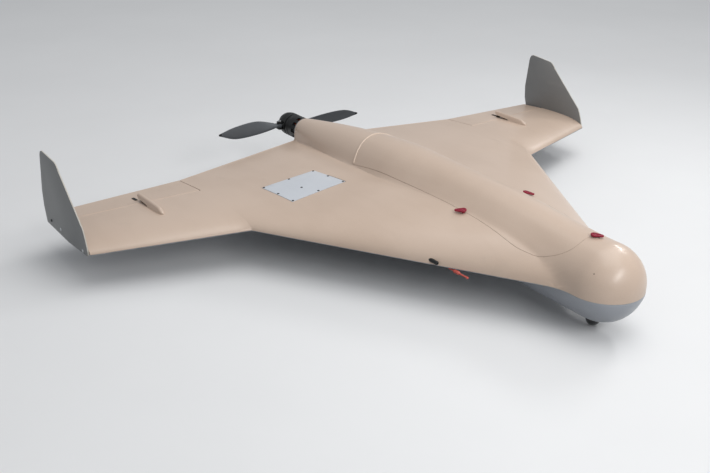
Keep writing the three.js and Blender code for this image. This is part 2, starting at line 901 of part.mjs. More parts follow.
function addArmAndHorn(sign, label) {
  const { hinge, servo, arm, horn } = linkPoints(sign);
  const armPlate = linkPlate(servo, arm, armR, servo.x - armThick / 2, servo.x + armThick / 2);
  const pinHole = linkPinR + pinGap;
  addSolid(`servo_arm_${label}`, armPlate.subtract(acrossBar(arm, 5, pinHole)), finGrey);

  const footFrom = hinge.y + 3;
  const footTo = footFrom + hornFootLength;
  const plate = new THREE.Shape();
  plate.moveTo(footFrom, hinge.z);
  plate.lineTo(footTo, hinge.z);
  plate.lineTo(footTo, upperZ(hinge.x, footTo) + 1.5);
  plate.absarc(horn.y, horn.z, armR, Math.PI / 4, 1.2 * Math.PI, false);
  plate.closePath();
  const skinZ = upperZ(hinge.x, hinge.y);
  const slope = Math.tan(degToRad(elevonLimit + 2));
  const relief = polygon([
    [hinge.y + hornRelief, skinZ - armLength],
    [hinge.y + hornRelief, skinZ + hornRelief * (1 - slope)],
    [hinge.y - armLength, skinZ + hornRelief + armLength * slope],
    [hinge.y - armLength, skinZ - armLength],
  ]);
  const hornPlate = sidePrism(plate, horn.x - hornThick / 2, horn.x + hornThick / 2, 6)
    .subtract(body.translate([0, 0, gap]))
    .subtract(sidePrism(relief, horn.x - 2 * hornThick, horn.x + 2 * hornThick))
    .subtract(acrossBar(horn, 5, pinHole));
  addSolid(`control_horn_${label}`, hornPlate, finGrey);
}

function addPushrod(sign, label) {
  const { arm, horn } = linkPoints(sign);
  const aside = new THREE.Vector3(sign * (armThick / 2 + linkSideGap + pushrodR), 0, 0);
  const across = new THREE.Vector3(sign * (armThick / 2 + linkSideGap), 0, 0);
  const [from, to] = [arm, horn].map((place) => place.clone().add(aside));
  const pins = [[from, arm], [to, horn]].map(([a, b]) => bar(a, b.clone().sub(across), linkPinR, linkPinR, 8));
  const rod = bar(from, to, pushrodR, pushrodR, 8);
  addSolid(`pushrod_${label}`, pins.reduce((rest, pin) => rest.add(pin), rod), steel);
}

// Half-teardrop bulb over the linkage, drawn in by a wall
function fairingBulb(x, wall) {
  const stations = 6;
  const arcs = 7;
  const ring = arcs + 3;
  const vertices = [];
  const faces = [];
  for (let i = 0; i <= stations; i += 1) {
    const run = (fairingRearY - fairingFrontY - wall + 2) * (1 - Math.cos((i / stations) * Math.PI / 2));
    const y = fairingFrontY + wall + run;
    const round = Math.sqrt(clamp(0.02 + run / 14, 0, 1));
    const share = run / (fairingRearY - fairingFrontY);
    const rise = lerp(fairingFrontRise, fairingRearRise, share) * round - wall;
    const half = (fairingWidth / 2) * lerp(0.75, 1, share) * round - wall * round;
    const base = upperZ(x, y);
    vertices.push(x + half, y, base - 8);
    for (let k = 0; k <= arcs; k += 1) {
      const angle = (k / arcs) * Math.PI;
      vertices.push(x + half * Math.cos(angle), y, base + Math.max(rise, 0.4) * Math.sin(angle));
    }
    vertices.push(x - half, y, base - 8);
  }
  for (let i = 0; i < stations; i += 1) {
    for (let k = 0; k < ring; k += 1) {
      const a = i * ring + k;
      const b = i * ring + ((k + 1) % ring);
      faces.push(a, b + ring, b, a, a + ring, b + ring);
    }
  }
  for (let k = 1; k + 1 < ring; k += 1) {
    const end = stations * ring;
    faces.push(0, k, k + 1, end, end + k + 1, end + k);
  }
  return meshSolid(vertices, faces);
}

function addFairing(sign, label) {
  const x = sign * linkX;
  const { hinge } = linkPoints(sign);
  const run = 3 * fairingWidth;
  const skinZ = upperZ(x, hinge.y);
  const wedge = polygon([
    [hinge.y - 3, skinZ - 20],
    [hinge.y + run, skinZ - 20],
    [hinge.y + run, skinZ + run * Math.tan(degToRad(elevonLimit + 2))],
    [hinge.y - 3, skinZ],
  ]);
  const shape = fairingBulb(x, 0)
    .subtract(fairingBulb(x, fairingWall))
    .subtract(boxSolid(x - 20, x + 20, fairingRearY, fairingRearY + 40, -far, far))
    .subtract(body.translate([0, 0, gap]))
    .subtract(sidePrism(wedge, x - 20, x + 20));
  const pieces = shape.decompose().sort((a, b) => b.volume() - a.volume());
  addSolid(`linkage_fairing_${label}`, pieces[0], sand);
}

// Tip fins
function addFin(sign, label) {
  const outline = new THREE.Shape();
  outline.moveTo(-6, finFootZ + 2);
  outline.lineTo(3, 20);
  outline.lineTo(5, 48);
  outline.lineTo(-2, finHeight - 14);
  outline.quadraticCurveTo(-4, finHeight, -15, finHeight);
  outline.lineTo(-66, finHeight - 4);
  outline.quadraticCurveTo(-76, finHeight - 5, -84, finHeight - 17);
  outline.lineTo(-166, 35);
  outline.quadraticCurveTo(-174, 24, finFootFrontY, -4);
  outline.quadraticCurveTo(finFootFrontY - 1, finFootZ, finFootFrontY + 8, finFootZ);
  outline.lineTo(-100, finFootZ - 3);
  outline.closePath();
  const [x0, x1] = [halfSpan + gap, halfSpan + gap + finThick].map((x) => sign * x).sort((a, b) => a - b);
  addSolid(`tip_fin_${label}`, sidePrism(outline, x0, x1, 5), finGrey);
}

// Spars, ribs, formers and trays

function sparAt(sign, side) {
  return new THREE.Vector3(sign * side, sparY, mapLinear(side, sparRootX, sparEndX, sparRootZ, sparTipZ));
}

function sparBar(sign, radius, extra = 0) {
  return bar(sparAt(sign, sparRootX - extra), sparAt(sign, sparEndX + extra), radius, radius, 14);
}

function addRib(sign, x, name) {
  const rib = slice(sign * x - ribThick / 2, sign * x + ribThick / 2, -far, ribEndY, -far, far);
  addSolid(name, rib.subtract(sparBar(sign, sparR + gap)), plywood);
}

function addSideStructure(sign, label) {
  addSolid(`wing_spar_${label}`, sparBar(sign, sparR).subtract(sparBar(sign, sparBore, 1)), carbon);
  addRib(sign, rootRibX, `root_rib_${label}`);
  addRib(sign, kinkRibX, `kink_rib_${label}`);
}

function former(y) {
  const half = formerThick / 2;
  return slice(-formerSideX, formerSideX, y - half, y + half, -far, far)
    .subtract(hatchPrism(frameWidth / 2 + gap));
}

function addStructure() {
  addSolid('nose_former', former(noseFormerY), plywood);
  addSolid('bay_former', former(bayFormerY), plywood);
  const block = boxSolid(
    -blockHalfX,
    blockHalfX,
    sparY - blockHalfY,
    sparY + blockHalfY,
    sparRootZ - blockHalfZ,
    sparRootZ + blockHalfZ,
  );
  const bores = [-1, 1].map((sign) => sparBar(sign, sparR + gap, gap));
  addSolid('spar_block', bores.reduce((rest, bore) => rest.subtract(bore), block), carbon);
  const shaftHole = bar(new THREE.Vector3(0, 0, tailZ), new THREE.Vector3(0, 90, tailZ), 6);
  const bulkhead = slice(-90, 90, bulkheadY, bulkheadY + bulkheadThick, -far, far);
  addSolid('motor_bulkhead', bulkhead.subtract(shaftHole), plywood);
  const half = formerThick / 2 + gap;
  const tray = slice(-formerSideX, formerSideX, noseFormerY + half, trayEndY, trayZ, trayZ + trayThick);
  addSolid('equipment_tray', tray, plywood);
  const tailTray = slice(-90, 90, tailTrayFromY, bulkheadY - gap, tailTrayZ, tailTrayZ + trayThick);
  addSolid('tail_tray', tailTray, plywood);
  const shelf = slice(-90, 90, shelfFromY, noseFormerY - half, shelfZ, shelfZ + trayThick);
  addSolid('camera_shelf', shelf, plywood);
}

// Equipment

function addOnTray(name, size, y, floorZ, material) {
  const mesh = addMesh(name, new THREE.BoxGeometry(...size), material);
  mesh.position.set(0, y, floorZ + gap + size[2] / 2);
}

function addEquipment() {
  const floorZ = trayZ + trayThick;
  addOnTray('battery_pack', batterySize, batteryY, floorZ, wrap);
  addOnTray('flight_controller', controllerSize, controllerY, floorZ, board);
  addOnTray('radio_receiver', radioSize, radioY, floorZ, black);
  addOnTray('speed_controller', speedSize, speedY, tailTrayZ + trayThick, black);

  const [width, , height] = batterySize;
  const [halfIn, top] = [width / 2 + gap, floorZ + gap + height + gap];
  const [y0, y1] = [batteryY - strapWidth / 2, batteryY + strapWidth / 2];
  const outer = boxSolid(-halfIn - strapThick, halfIn + strapThick, y0, y1, floorZ + gap, top + strapThick);
  addSolid('battery_strap', outer.subtract(boxSolid(-halfIn, halfIn, y0 - 1, y1 + 1, -far, top)), black);

  const antenna = addMesh('gnss_antenna', new THREE.BoxGeometry(antennaSide, antennaSide, antennaThick), black);
  const normal = surfaceNormal(panelX, panelY);
  antenna.position.set(panelX, panelY, upperZ(panelX, panelY));
  antenna.position.addScaledVector(normal, -skin - antennaDrop - antennaThick / 2);
  antenna.quaternion.setFromUnitVectors(new THREE.Vector3(0, 0, 1), normal);
}

// Camera under the nose, and the belly shoe

function lathe(points, sides) {
  return new THREE.LatheGeometry(points.map(([r, y]) => new THREE.Vector2(r, y)), sides);
}

function addCamera() {
  const inner = domeR - domeWall;
  const profile = new THREE.Path();
  profile.absarc(0, 0, domeR, -Math.PI / 2, 0, false);
  profile.lineTo(domeR, domeTopZ - domeZ);
  profile.lineTo(inner, domeTopZ - domeZ);
  profile.absarc(0, 0, inner, 0, -Math.PI / 2, true);
  const points = profile.getPoints(3).map(({ x, y }) => [Math.abs(x) < 1e-6 ? 0 : x, y]);
  const dome = addMesh('camera_dome', lathe(points, 20), smoked);
  dome.rotation.x = Math.PI / 2;
  dome.position.set(0, domeY, domeZ);

  const half = cameraSide / 2;
  const housing = boxSolid(-half, half, domeY - half, domeY + half, domeTopZ + gap, shelfZ - gap);
  const lensTop = new THREE.Vector3(0, domeY, domeTopZ + 2);
  const lensEnd = new THREE.Vector3(0, domeY, domeZ - 2);
  const lens = bar(lensTop, lensEnd, lensR, lensR, 20);
  addSolid('camera_module', housing.add(lens).intersect(inside.add(lens)), black);
}

function addShoe() {
  const [halfX, halfY] = [shoeWidth / 2, shoeLength / 2];
  const block = boxSolid(-halfX, halfX, shoeY - halfY, shoeY + halfY, shoeZ, shoeTopZ);
  const [boreFrom, boreTo] = [shoeZ - 1, 0].map((z) => new THREE.Vector3(0, shoeY, z));
  const bore = bar(boreFrom, boreTo, shoeBoreR, shoeBoreR, 20);
  addSolid('belly_shoe', block.subtract(body.translate([0, 0, -gap])).subtract(bore), black);
}

// Motor, in a group that stands at the tail end with Y along the motor's axis

function ringPart(innerR, outerR, from, to, sides = 24) {
  return solid(lathe([[innerR, from], [outerR, from], [outerR, to], [innerR, to], [innerR, from]], sides));
}

function windingSolid() {
  const outline = new THREE.Shape();
  const steps = 4 * windingCount;
  for (let i = 0; i < steps; i += 1) {
    const angle = (i / steps) * 2 * Math.PI;
    const radius = windingOuterR - windingLobe * (1 - Math.abs(Math.sin((windingCount / 2) * angle)) ** 0.6);
    if (i === 0) outline.moveTo(radius, 0);
    else outline.lineTo(radius * Math.cos(angle), radius * Math.sin(angle));
  }
  outline.closePath();
  const hole = new THREE.Path();
  hole.absarc(0, 0, statorTubeR + gap, 0, 2 * Math.PI, true);
  outline.holes.push(hole);
  const block = new THREE.ExtrudeGeometry(outline, {
    depth: windingTo - windingFrom,
    bevelEnabled: false,
    curveSegments: 10,
  });
  block.rotateX(-Math.PI / 2);
  block.translate(0, windingFrom, 0);
  return solid(block);
}

function addMotor(drive) {
  const bore = shaftR + gap;
  addSolid('tail_collar', ringPart(bore + 1, collarR, gap, collarLength), finGrey, drive);
  const flange = ringPart(bore, statorFlangeR, collarLength + gap, bellFrom - gap);
  const tube = ringPart(bore, statorTubeR, collarLength + gap, statorEnd);
  addSolid('motor_stator', flange.add(tube), black, drive);
  addSolid('motor_windings', windingSolid(), copper, drive);

  let bell = ringPart(motorR - bellWall, motorR, bellFrom, bellTo, 30);
  bell = bell.add(ringPart(bore, motorR, bellTo - bellEndThick, bellTo, 30));
  for (let i = 0; i < slotCount; i += 1) {
    const half = slotWidth / 2;
    const slot = boxSolid(motorR - 2 * bellWall, motorR + 1, bellFrom - 1, bellFrom + slotLength, -half, half);
    bell = bell.subtract(slot.rotate([0, (i / slotCount) * 360, 0]));
  }
  addSolid('motor_bell', bell, black, drive);
  const shaftEnd = propPlane + yokeHalfY;
  const shaft = new THREE.CylinderGeometry(shaftR, shaftR, shaftEnd - 2 * gap, 16);
  addMesh('motor_shaft', shaft, steel, drive).position.y = shaftEnd / 2 + gap;
}

function shaftBore() {
  const [from, to] = [0, propPlane + yokeHalfY + 1].map((y) => new THREE.Vector3(0, y, 0));
  return bar(from, to, shaftR + gap, shaftR + gap, 16);
}

// Spinner with a window on each side for the blade roots
function spinnerProfile(wall) {
  const radius = motorR - wall;
  const turnY = spinnerFrom + spinnerCylinder;
  const rise = spinnerLength - spinnerCylinder - wall;
  const baseY = wall > 0 ? spinnerFrom + spinnerBackThick : spinnerFrom;
  const points = [[0, baseY], [radius, baseY]];
  for (let i = 0; i < 6; i += 1) {
    const angle = (i / 6) * Math.PI / 2;
    points.push([radius * Math.cos(angle), turnY + rise * Math.sin(angle)]);
  }
  points.push([0, turnY + rise]);
  return solid(lathe(points, 24));
}

function addSpinner(propeller) {
  const [low, high] = [propPlane - windowHalfLength, propPlane + windowHalfLength];
  const height = yokeHalfZ + 1;
  const windows = [-1, 1].map((sign) => boxSolid(sign * windowInX, sign * 2 * motorR, low, high, -height, height));
  const hollowSpinner = spinnerProfile(0).subtract(spinnerProfile(spinnerWall));
  const shape = [shaftBore(), ...windows].reduce((rest, cut) => rest.subtract(cut), hollowSpinner);
  addSolid('prop_spinner', shape, black, propeller);
}

// Yoke across the shaft, with a fork and a pivot bolt at each end

function pivotBar(sign, from, to, radius, sides = 16) {
  const x = sign * bladePivotR;
  return bar(new THREE.Vector3(x, propPlane, from), new THREE.Vector3(x, propPlane, to), radius, radius, sides);
}

function addYoke(propeller) {
  const [low, high] = [propPlane - yokeHalfY, propPlane + yokeHalfY];
  let yoke = boxSolid(-yokeHalfX, yokeHalfX, low, high, -yokeHalfZ, yokeHalfZ);
  const cheekZ = bladeRootThick / 2 + gap;
  [-1, 1].forEach((sign) => {
    [-1, 1].forEach((side) => {
      const [z0, z1] = [side * cheekZ, side * yokeHalfZ];
      const cheek = boxSolid(sign * (yokeHalfX - 2), sign * bladePivotR, low, high, z0, z1);
      yoke = yoke.add(cheek).add(pivotBar(sign, z0, z1, yokeHalfY));
    });
    yoke = yoke.subtract(pivotBar(sign, -2 * yokeHalfZ, 2 * yokeHalfZ, boltR + gap));
  });
  addSolid('prop_yoke', yoke.subtract(shaftBore()), black, propeller);
}

function addBolt(sign, label, propeller) {
  const headZ = yokeHalfZ + gap;
  const shank = pivotBar(sign, -headZ - 0.2, headZ + 0.2, boltR);
  const head = pivotBar(sign, headZ, headZ + boltHeadThick, boltHeadR);
  const nut = pivotBar(sign, -headZ, -headZ - boltHeadThick, boltHeadR, 6);
  addSolid(`blade_bolt_${label}`, shank.add(head).add(nut), steel, propeller);
}

// Distance of a blade's edge from the line through its pivot, along the radius
function bladeEdge(wide, outer, tip) {
  return new THREE.SplineCurve([
    new THREE.Vector2(bladePivotR, bladeNeckHalf),
    new THREE.Vector2(bladeNeckR, bladeNeckHalf),
    new THREE.Vector2(bladeWideR, wide),
    new THREE.Vector2(bladeOuterR, outer),
    new THREE.Vector2(bladeTipR, tip),
  ]);
}

// One blade, drawn out along +X, raked forward and twisted as a screw of constant pitch
function bladeSolid() {
  const aftEdge = bladeEdge(bladeWideAft, bladeOuterAft, bladeTipAft);
  const foreEdge = bladeEdge(bladeWideFore, bladeOuterFore, bladeTipFore);
  const stations = 11;
  const ring = 10;
  const vertices = [];
  const faces = [];
  for (let i = 0; i <= stations; i += 1) {
    const { x: radius, y: aft } = aftEdge.getPoint(i / stations);
    const fore = foreEdge.getPoint(i / stations).y;
    const chord = aft + fore;
    const rake = bladeRake * mapLinear(radius, bladePivotR, bladeTipR, 0, 1) ** 2;
    const twist = Math.min(Math.atan2(bladePitch, 2 * Math.PI * radius), degToRad(bladeLean));
    const thick = Math.max(chord * bladeThin, mapLinear(radius, bladePivotR, bladeWideR, 7, 3));
    for (let k = 0; k < ring; k += 1) {
      const angle = (k / ring) * 2 * Math.PI;
      const along = (fore - aft) / 2 + (chord / 2) * Math.cos(angle);
      const across = (Math.min(thick, bladeRootThick - 1) / 2) * Math.sin(angle) * (1 + 0.3 * Math.cos(angle));
      const y = -along * Math.sin(twist) + across * Math.cos(twist);
      const z = along * Math.cos(twist) + across * Math.sin(twist);
      vertices.push(radius, propPlane + y - rake, z);
    }
  }
  for (let i = 0; i < stations; i += 1) {
    for (let k = 0; k < ring; k += 1) {
      const a = i * ring + k;
      const b = i * ring + ((k + 1) % ring);
      faces.push(a, b + ring, b, a, a + ring, b + ring);
    }
  }
  for (let k = 1; k + 1 < ring; k += 1) {
    const end = stations * ring;
    faces.push(0, k, k + 1, end, end + k + 1, end + k);
  }
  return meshSolid(vertices, faces);
}

function addBlade(sign, label, propeller) {
  const half = bladeRootThick / 2;
  const reach = boxSolid(0, 2 * bladeTipR, 0, 2 * propPlane, -half, half);
  const wide = bladeWideAft + bladeWideFore;
  const beyond = boxSolid(bladeNeckR + yokeHalfY, 2 * bladeTipR, 0, 2 * propPlane, -wide, wide);
  const blade = bladeSolid().intersect(reach.add(beyond))
    .add(pivotBar(1, -half, half, bladeRootR, 20))
    .subtract(pivotBar(1, -2 * half, 2 * half, boltR + pinGap));
  const mesh = addSolid(`prop_blade_${label}`, blade, bladeGrey, propeller);
  if (sign < 0) mesh.rotation.y = Math.PI;
}

// Assembly

addSkins();
addFrames();
latchPlaces.forEach(addLatch);
[[-1, 'starboard'], [1, 'port']].forEach(([sign, label]) => {
  addElevon(sign, label);
  addServo(sign, label);
  addArmAndHorn(sign, label);
  addPushrod(sign, label);
  addFairing(sign, label);
  addFin(sign, label);
  addSideStructure(sign, label);
});
addStructure();
addEquipment();
addCamera();
addShoe();
addSolid('pitot_probe', probeBar(probeR), black);
const pinHead = bar(
  new THREE.Vector3(pinX, pinFromY - pinLength - pinHeadLength, pinZ),
  new THREE.Vector3(pinX, pinFromY - pinLength, pinZ),
  pinHeadR,
  pinHeadR,
  14,
);
addSolid('power_pull_pin', pinBar(pinR).add(pinHead), red);

const drive = new THREE.Group();
drive.position.set(0, tailY, tailZ);
airframe.add(drive);
addMotor(drive);
const propeller = new THREE.Group();
propeller.rotation.y = degToRad(propRoll);
drive.add(propeller);
addSpinner(propeller);
addYoke(propeller);
[[-1, 'starboard'], [1, 'port']].forEach(([sign, label]) => {
  addBlade(sign, label, propeller);
  addBolt(sign, label, propeller);
});

// The part stands on its camera dome and belly shoe, centred over the floor
const part = new THREE.Group();
const frontY = noseY - noseR * Math.cos(degToRad(noseTurn));
const rearY = tailY + spinnerFrom + spinnerLength;
airframe.position.set(0, -(frontY + rearY) / 2, domeR - domeZ);
part.add(airframe);

export default part;
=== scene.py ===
"""Looks of a fixed wing drone: a blended delta body, tip fins, elevons and a folding pusher propeller.

Lengths in the classes are millimetres about the airframe's own origin, with the nose towards -Y.
Forge turns them into metres in the CAD frame.
"""

from __future__ import annotations

import json
import logging
import math
from dataclasses import dataclass
from enum import Enum
from typing import Iterable, Sequence

import bmesh
import bpy
import numpy as np
from mathutils import Matrix, Vector

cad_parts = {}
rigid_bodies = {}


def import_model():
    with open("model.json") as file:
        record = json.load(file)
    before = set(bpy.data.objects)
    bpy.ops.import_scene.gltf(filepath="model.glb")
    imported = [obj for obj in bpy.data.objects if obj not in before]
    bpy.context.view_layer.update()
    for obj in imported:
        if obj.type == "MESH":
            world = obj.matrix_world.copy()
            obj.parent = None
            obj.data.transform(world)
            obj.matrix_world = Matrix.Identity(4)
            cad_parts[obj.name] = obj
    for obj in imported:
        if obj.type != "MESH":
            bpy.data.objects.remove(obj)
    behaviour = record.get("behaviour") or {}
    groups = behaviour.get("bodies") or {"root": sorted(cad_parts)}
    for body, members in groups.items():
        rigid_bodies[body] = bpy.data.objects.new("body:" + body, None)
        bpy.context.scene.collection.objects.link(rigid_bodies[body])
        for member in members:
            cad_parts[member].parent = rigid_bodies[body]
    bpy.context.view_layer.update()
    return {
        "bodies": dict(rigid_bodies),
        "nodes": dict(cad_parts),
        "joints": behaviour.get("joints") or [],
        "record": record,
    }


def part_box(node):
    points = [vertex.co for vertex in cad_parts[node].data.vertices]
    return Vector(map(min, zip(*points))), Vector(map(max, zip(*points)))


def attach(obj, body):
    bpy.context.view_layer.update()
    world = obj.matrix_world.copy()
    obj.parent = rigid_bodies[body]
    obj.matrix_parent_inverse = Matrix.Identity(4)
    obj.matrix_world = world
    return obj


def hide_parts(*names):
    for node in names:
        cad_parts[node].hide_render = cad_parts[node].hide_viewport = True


log = logging.getLogger("drone")

Piece = bpy.types.Object
Material = bpy.types.Material
Value = float | np.ndarray
Pair = tuple[float, float]
Triple = tuple[float, float, float]

MM = 0.001
AIRFRAME_SHIFT = (0.0, 342.126328, 71.0)
SIDES = ((-1, "starboard"), (1, "port"))
PROBE_X, PROBE_Z = -172, 11
PIN_X = -152
DOME_Y = -758.5
PANEL_X, PANEL_Y, PANEL_TURN = -192, -211.6, math.radians(3)
FAR = 1000.0
SHARP_ANGLE = math.radians(31)


# Numbers and curves


def lerp(a: Value, b: Value, t: Value) -> Value:
    """Blend of two values or arrays.

    Args:
        a: value at 0.
        b: value at 1.
        t: share of the way.

    Returns:
        The value on the way from a to b.
    """
    return a + (b - a) * t


def remap(x: Value, low: float, high: float, a: Value, b: Value) -> Value:
    """Straight line through (low, a) and (high, b).

    Args:
        x: where to read the line, a number or an array.
        low: first place.
        high: second place.
        a: value at low.
        b: value at high.

    Returns:
        The line's value at x.
    """
    return a + (x - low) * ((b - a) / (high - low))


def smoothstep(x: Value, low: float, high: float) -> Value:
    """Smooth rise from 0 at low to 1 at high.

    Args:
        x: a number or an array.
        low: start of the rise.
        high: end of the rise.

    Returns:
        Values from 0 to 1.
    """
    t = np.clip((x - low) / (high - low), 0, 1)
    return t * t * (3 - 2 * t)


def smooth_max(a: Value, b: Value, width: Value) -> Value:
    """Larger of two values, rounded off where they are closer than the width.

    Args:
        a: first value or array.
        b: second value or array.
        width: reach of the rounding.

    Returns:
        The blended maximum.
    """
    h = np.maximum(width - np.abs(a - b), 0) / width
    return np.maximum(a, b) + h * h * width * 0.25


def foil(t: Value) -> Value:
    """Half thickness of a foil along its chord.

    Args:
        t: share of the chord from the leading edge.

    Returns:
        0 at both ends and 1 at the fattest place.
    """
    t = np.clip(t, 0, 1)
    shape = 0.2969 * np.sqrt(t) - 0.126 * t - 0.3516 * t**2 + 0.2843 * t**3 - 0.1036 * t**4
    return 10 * np.maximum(shape, 0)


def arch(radius: Value, distance: Value) -> Value:
    """Height of a circle above its centre, falling steeply outside it.

    Args:
        radius: the circle's radius.
        distance: distance from its centre line.

    Returns:
        Height above the centre.
    """
    inside = np.sqrt(np.maximum(radius**2 - distance**2, 0))
    return np.where(distance < radius, inside, (radius - distance) * 4)


def catmull(points: Sequence[Pair], count: int) -> np.ndarray:
    """Points of a smooth curve through given ones.

    Args:
        points: places to pass, in order.
        count: number of points wanted.

    Returns:
        An array of count points.
    """
    knots = np.array(points, float)
    ends = [2 * knots[0] - knots[1], *knots, 2 * knots[-1] - knots[-2]]
    spans = len(knots) - 1
    curve = []
    for s in np.linspace(0, spans, count):
        i = min(int(s), spans - 1)
        t = s - i
        a, b, c, d = ends[i : i + 4]
        square, cube = 2 * a - 5 * b + 4 * c - d, 3 * b - a - 3 * c + d
        curve.append(0.5 * (2 * b + (c - a) * t + square * t**2 + cube * t**3))
    return np.array(curve)


def bezier(a: Sequence, b: Sequence, c: Sequence, d: Sequence, count: int) -> list[Pair]:
    """Points of a cubic curve, without its first one.

    Args:
        a: start point.
        b: first handle.
        c: second handle.
        d: end point.
        count: number of points.

    Returns:
        The points as tuples.
    """
    a, b, c, d = (np.array(p, float) for p in (a, b, c, d))
    t = np.linspace(0, 1, count + 1)[1:, None]
    curve = a * (1 - t) ** 3 + 3 * b * t * (1 - t) ** 2 + 3 * c * t * t * (1 - t) + d * t**3
    return [tuple(p) for p in curve]


def arc(x: float, y: float, radius: float, start: float, end: float, count: int) -> list[Pair]:
    """Points of an arc.

    Args:
        x: centre's first coordinate.
        y: centre's second coordinate.
        radius: radius.
        start: start angle in radians.
        end: end angle in radians.
        count: number of steps.

    Returns:
        count + 1 points.
    """
    angles = np.linspace(start, end, count + 1)
    return [(x + radius * math.cos(a), y + radius * math.sin(a)) for a in angles]


# Mesh making


class Cut(Enum):
    """How a tool solid works on a piece."""

    AWAY = "DIFFERENCE"
    JOIN = "UNION"
    KEEP = "INTERSECT"


class Forge:
    """Makes mesh objects in the CAD frame from millimetre points about the airframe's origin."""

    shift = Matrix.Translation(Vector(AIRFRAME_SHIFT) * MM) @ Matrix.Scale(MM, 4)

    @staticmethod
    def link(name: str, data: bpy.types.ID) -> Piece:
        """New object in the scene that holds the data.

        Args:
            name: object name.
            data: what it holds.

        Returns:
            The object.
        """
        piece = bpy.data.objects.new(name, data)
        bpy.context.scene.collection.objects.link(piece)
        return piece

    @classmethod
    def mesh(cls, name: str, points: Iterable, faces: Iterable, place: Matrix | None = None) -> Piece:
        """Closed mesh from points and faces, with its faces turned outwards.

        Args:
            name: object name.
            points: millimetre points.
            faces: vertex indices of each face.
            place: where the points stand about the airframe's origin.

        Returns:
            The new object.
        """
        data = bpy.data.meshes.new(name)
        data.from_pydata([tuple(p) for p in points], [], [tuple(f) for f in faces])
        data.transform(cls.shift @ (place or Matrix.Identity(4)))
        form = bmesh.new()
        form.from_mesh(data)
        bmesh.ops.remove_doubles(form, verts=form.verts, dist=2e-7)
        bmesh.ops.recalc_face_normals(form, faces=form.faces)
        form.to_mesh(data)
        form.free()
        return cls.link(name, data)

    @staticmethod
    def quads(rows: int, points: int, row_steps: int, point_steps: int) -> list[tuple[int, ...]]:
        """Faces between neighbouring rows of points.

        Args:
            rows: number of rows.
            points: points in each row.
            row_steps: steps from row to row; as many as rows to close on the first.
            point_steps: steps along a row; as many as points to close on the first.

        Returns:
            Four vertex indices for each face.
        """
        faces = []
        for i in range(row_steps):
            here, after = i * points, ((i + 1) % rows) * points
            for k in range(point_steps):
                n = (k + 1) % points
                faces.append((here + k, here + n, after + n, after + k))
        return faces

    @classmethod
    def loft(cls, name: str, rings: Sequence, place: Matrix | None = None, closed: bool = False) -> Piece:
        """Skin over rings of points, capped at both ends or closed on itself.

        Args:
            name: object name.
            rings: array of rings, each a loop with the same number of points.
            place: where the rings stand.
            closed: whether the last ring joins the first.

        Returns:
            The new object.
        """
        rings = np.asarray(rings, float)
        count, around = rings.shape[:2]
        faces = cls.quads(count, around, count if closed else count - 1, around)
        if not closed:
            faces.append(tuple(range(around)))
            faces.append(tuple(range((count - 1) * around, count * around)))
        return cls.mesh(name, rings.reshape(-1, 3), faces, place)

    @classmethod
    def lathe(cls, name: str, profile: Sequence[Pair], steps: int, place: Matrix | None = None) -> Piece:
        """Solid turned about the Y axis.

        Args:
            name: object name.
            profile: (radius, y) points, from axis to axis or a closed loop.
            steps: points around.
            place: where it stands.

        Returns:
            The new object.
        """
        angles = np.linspace(0, 2 * math.pi, steps, endpoint=False)
        rings = [[(r * math.sin(a), y, r * math.cos(a)) for r, y in profile] for a in angles]
        on_axis = profile[0][0] == 0 and profile[-1][0] == 0
        rows = np.array(rings, float)
        count, along = rows.shape[:2]
        faces = cls.quads(count, along, count, along - 1 if on_axis else along)
        return cls.mesh(name, rows.reshape(-1, 3), faces, place)

    @classmethod
    def prism(
        cls, name: str, outline: Sequence, low: float, high: float, place: Matrix | None = None
    ) -> Piece:
        """Upright prism over an outline in X and Y.

        Args:
            name: object name.
            outline: (x, y) points.
            low: bottom height.
            high: top height.
            place: where it stands.

        Returns:
            The new object.
        """
        rings = [[(x, y, z) for x, y in outline] for z in (low, high)]
        return cls.loft(name, rings, place)

    @classmethod
    def side_prism(cls, name: str, outline: Sequence[Pair], low: float, high: float) -> Piece:
        """Prism along X over an outline in Y and Z.

        Args:
            name: object name.
            outline: (y, z) points.
            low: first end's x.
            high: second end's x.

        Returns:
            The new object.
        """
        return cls.loft(name, [[(x, y, z) for y, z in outline] for x in (low, high)])

    @classmethod
    def block(cls, name: str, low: Sequence, high: Sequence, place: Matrix | None = None) -> Piece:
        """Box between two corners.

        Args:
            name: object name.
            low: lowest corner.
            high: highest corner.
            place: where it stands.

        Returns:
            The new object.
        """
        outline = [(low[0], low[1]), (high[0], low[1]), (high[0], high[1]), (low[0], high[1])]
        return cls.prism(name, outline, low[2], high[2], place)

    @classmethod
    def slab(cls, name: str, start: float, end: float) -> Piece:
        """Endless upright slab between two places across the body, in either order."""
        low, high = sorted((start, end))
        return cls.block(name, (low, -FAR, -FAR), (high, FAR, FAR))

    @classmethod
    def bar(
        cls,
        name: str,
        start: Sequence,
        end: Sequence,
        radius: float,
        end_radius: float | None = None,
        sides: int = 24,
        place: Matrix | None = None,
    ) -> Piece:
        """Round bar or cone between two points.

        Args:
            name: object name.
            start: centre of the first end.
            end: centre of the second end.
            radius: radius at the first end.
            end_radius: radius at the second end, if another.
            sides: points around.
            place: where it stands.

        Returns:
            The new object.
        """
        start, end = Vector(start), Vector(end)
        turn = Vector((0, 1, 0)).rotation_difference(end - start).to_matrix().to_4x4()
        stand = (place or Matrix.Identity(4)) @ Matrix.Translation(start) @ turn
        last = radius if end_radius is None else end_radius
        length = (end - start).length
        return cls.lathe(name, [(0, 0), (radius, 0), (last, length), (0, length)], sides, stand)

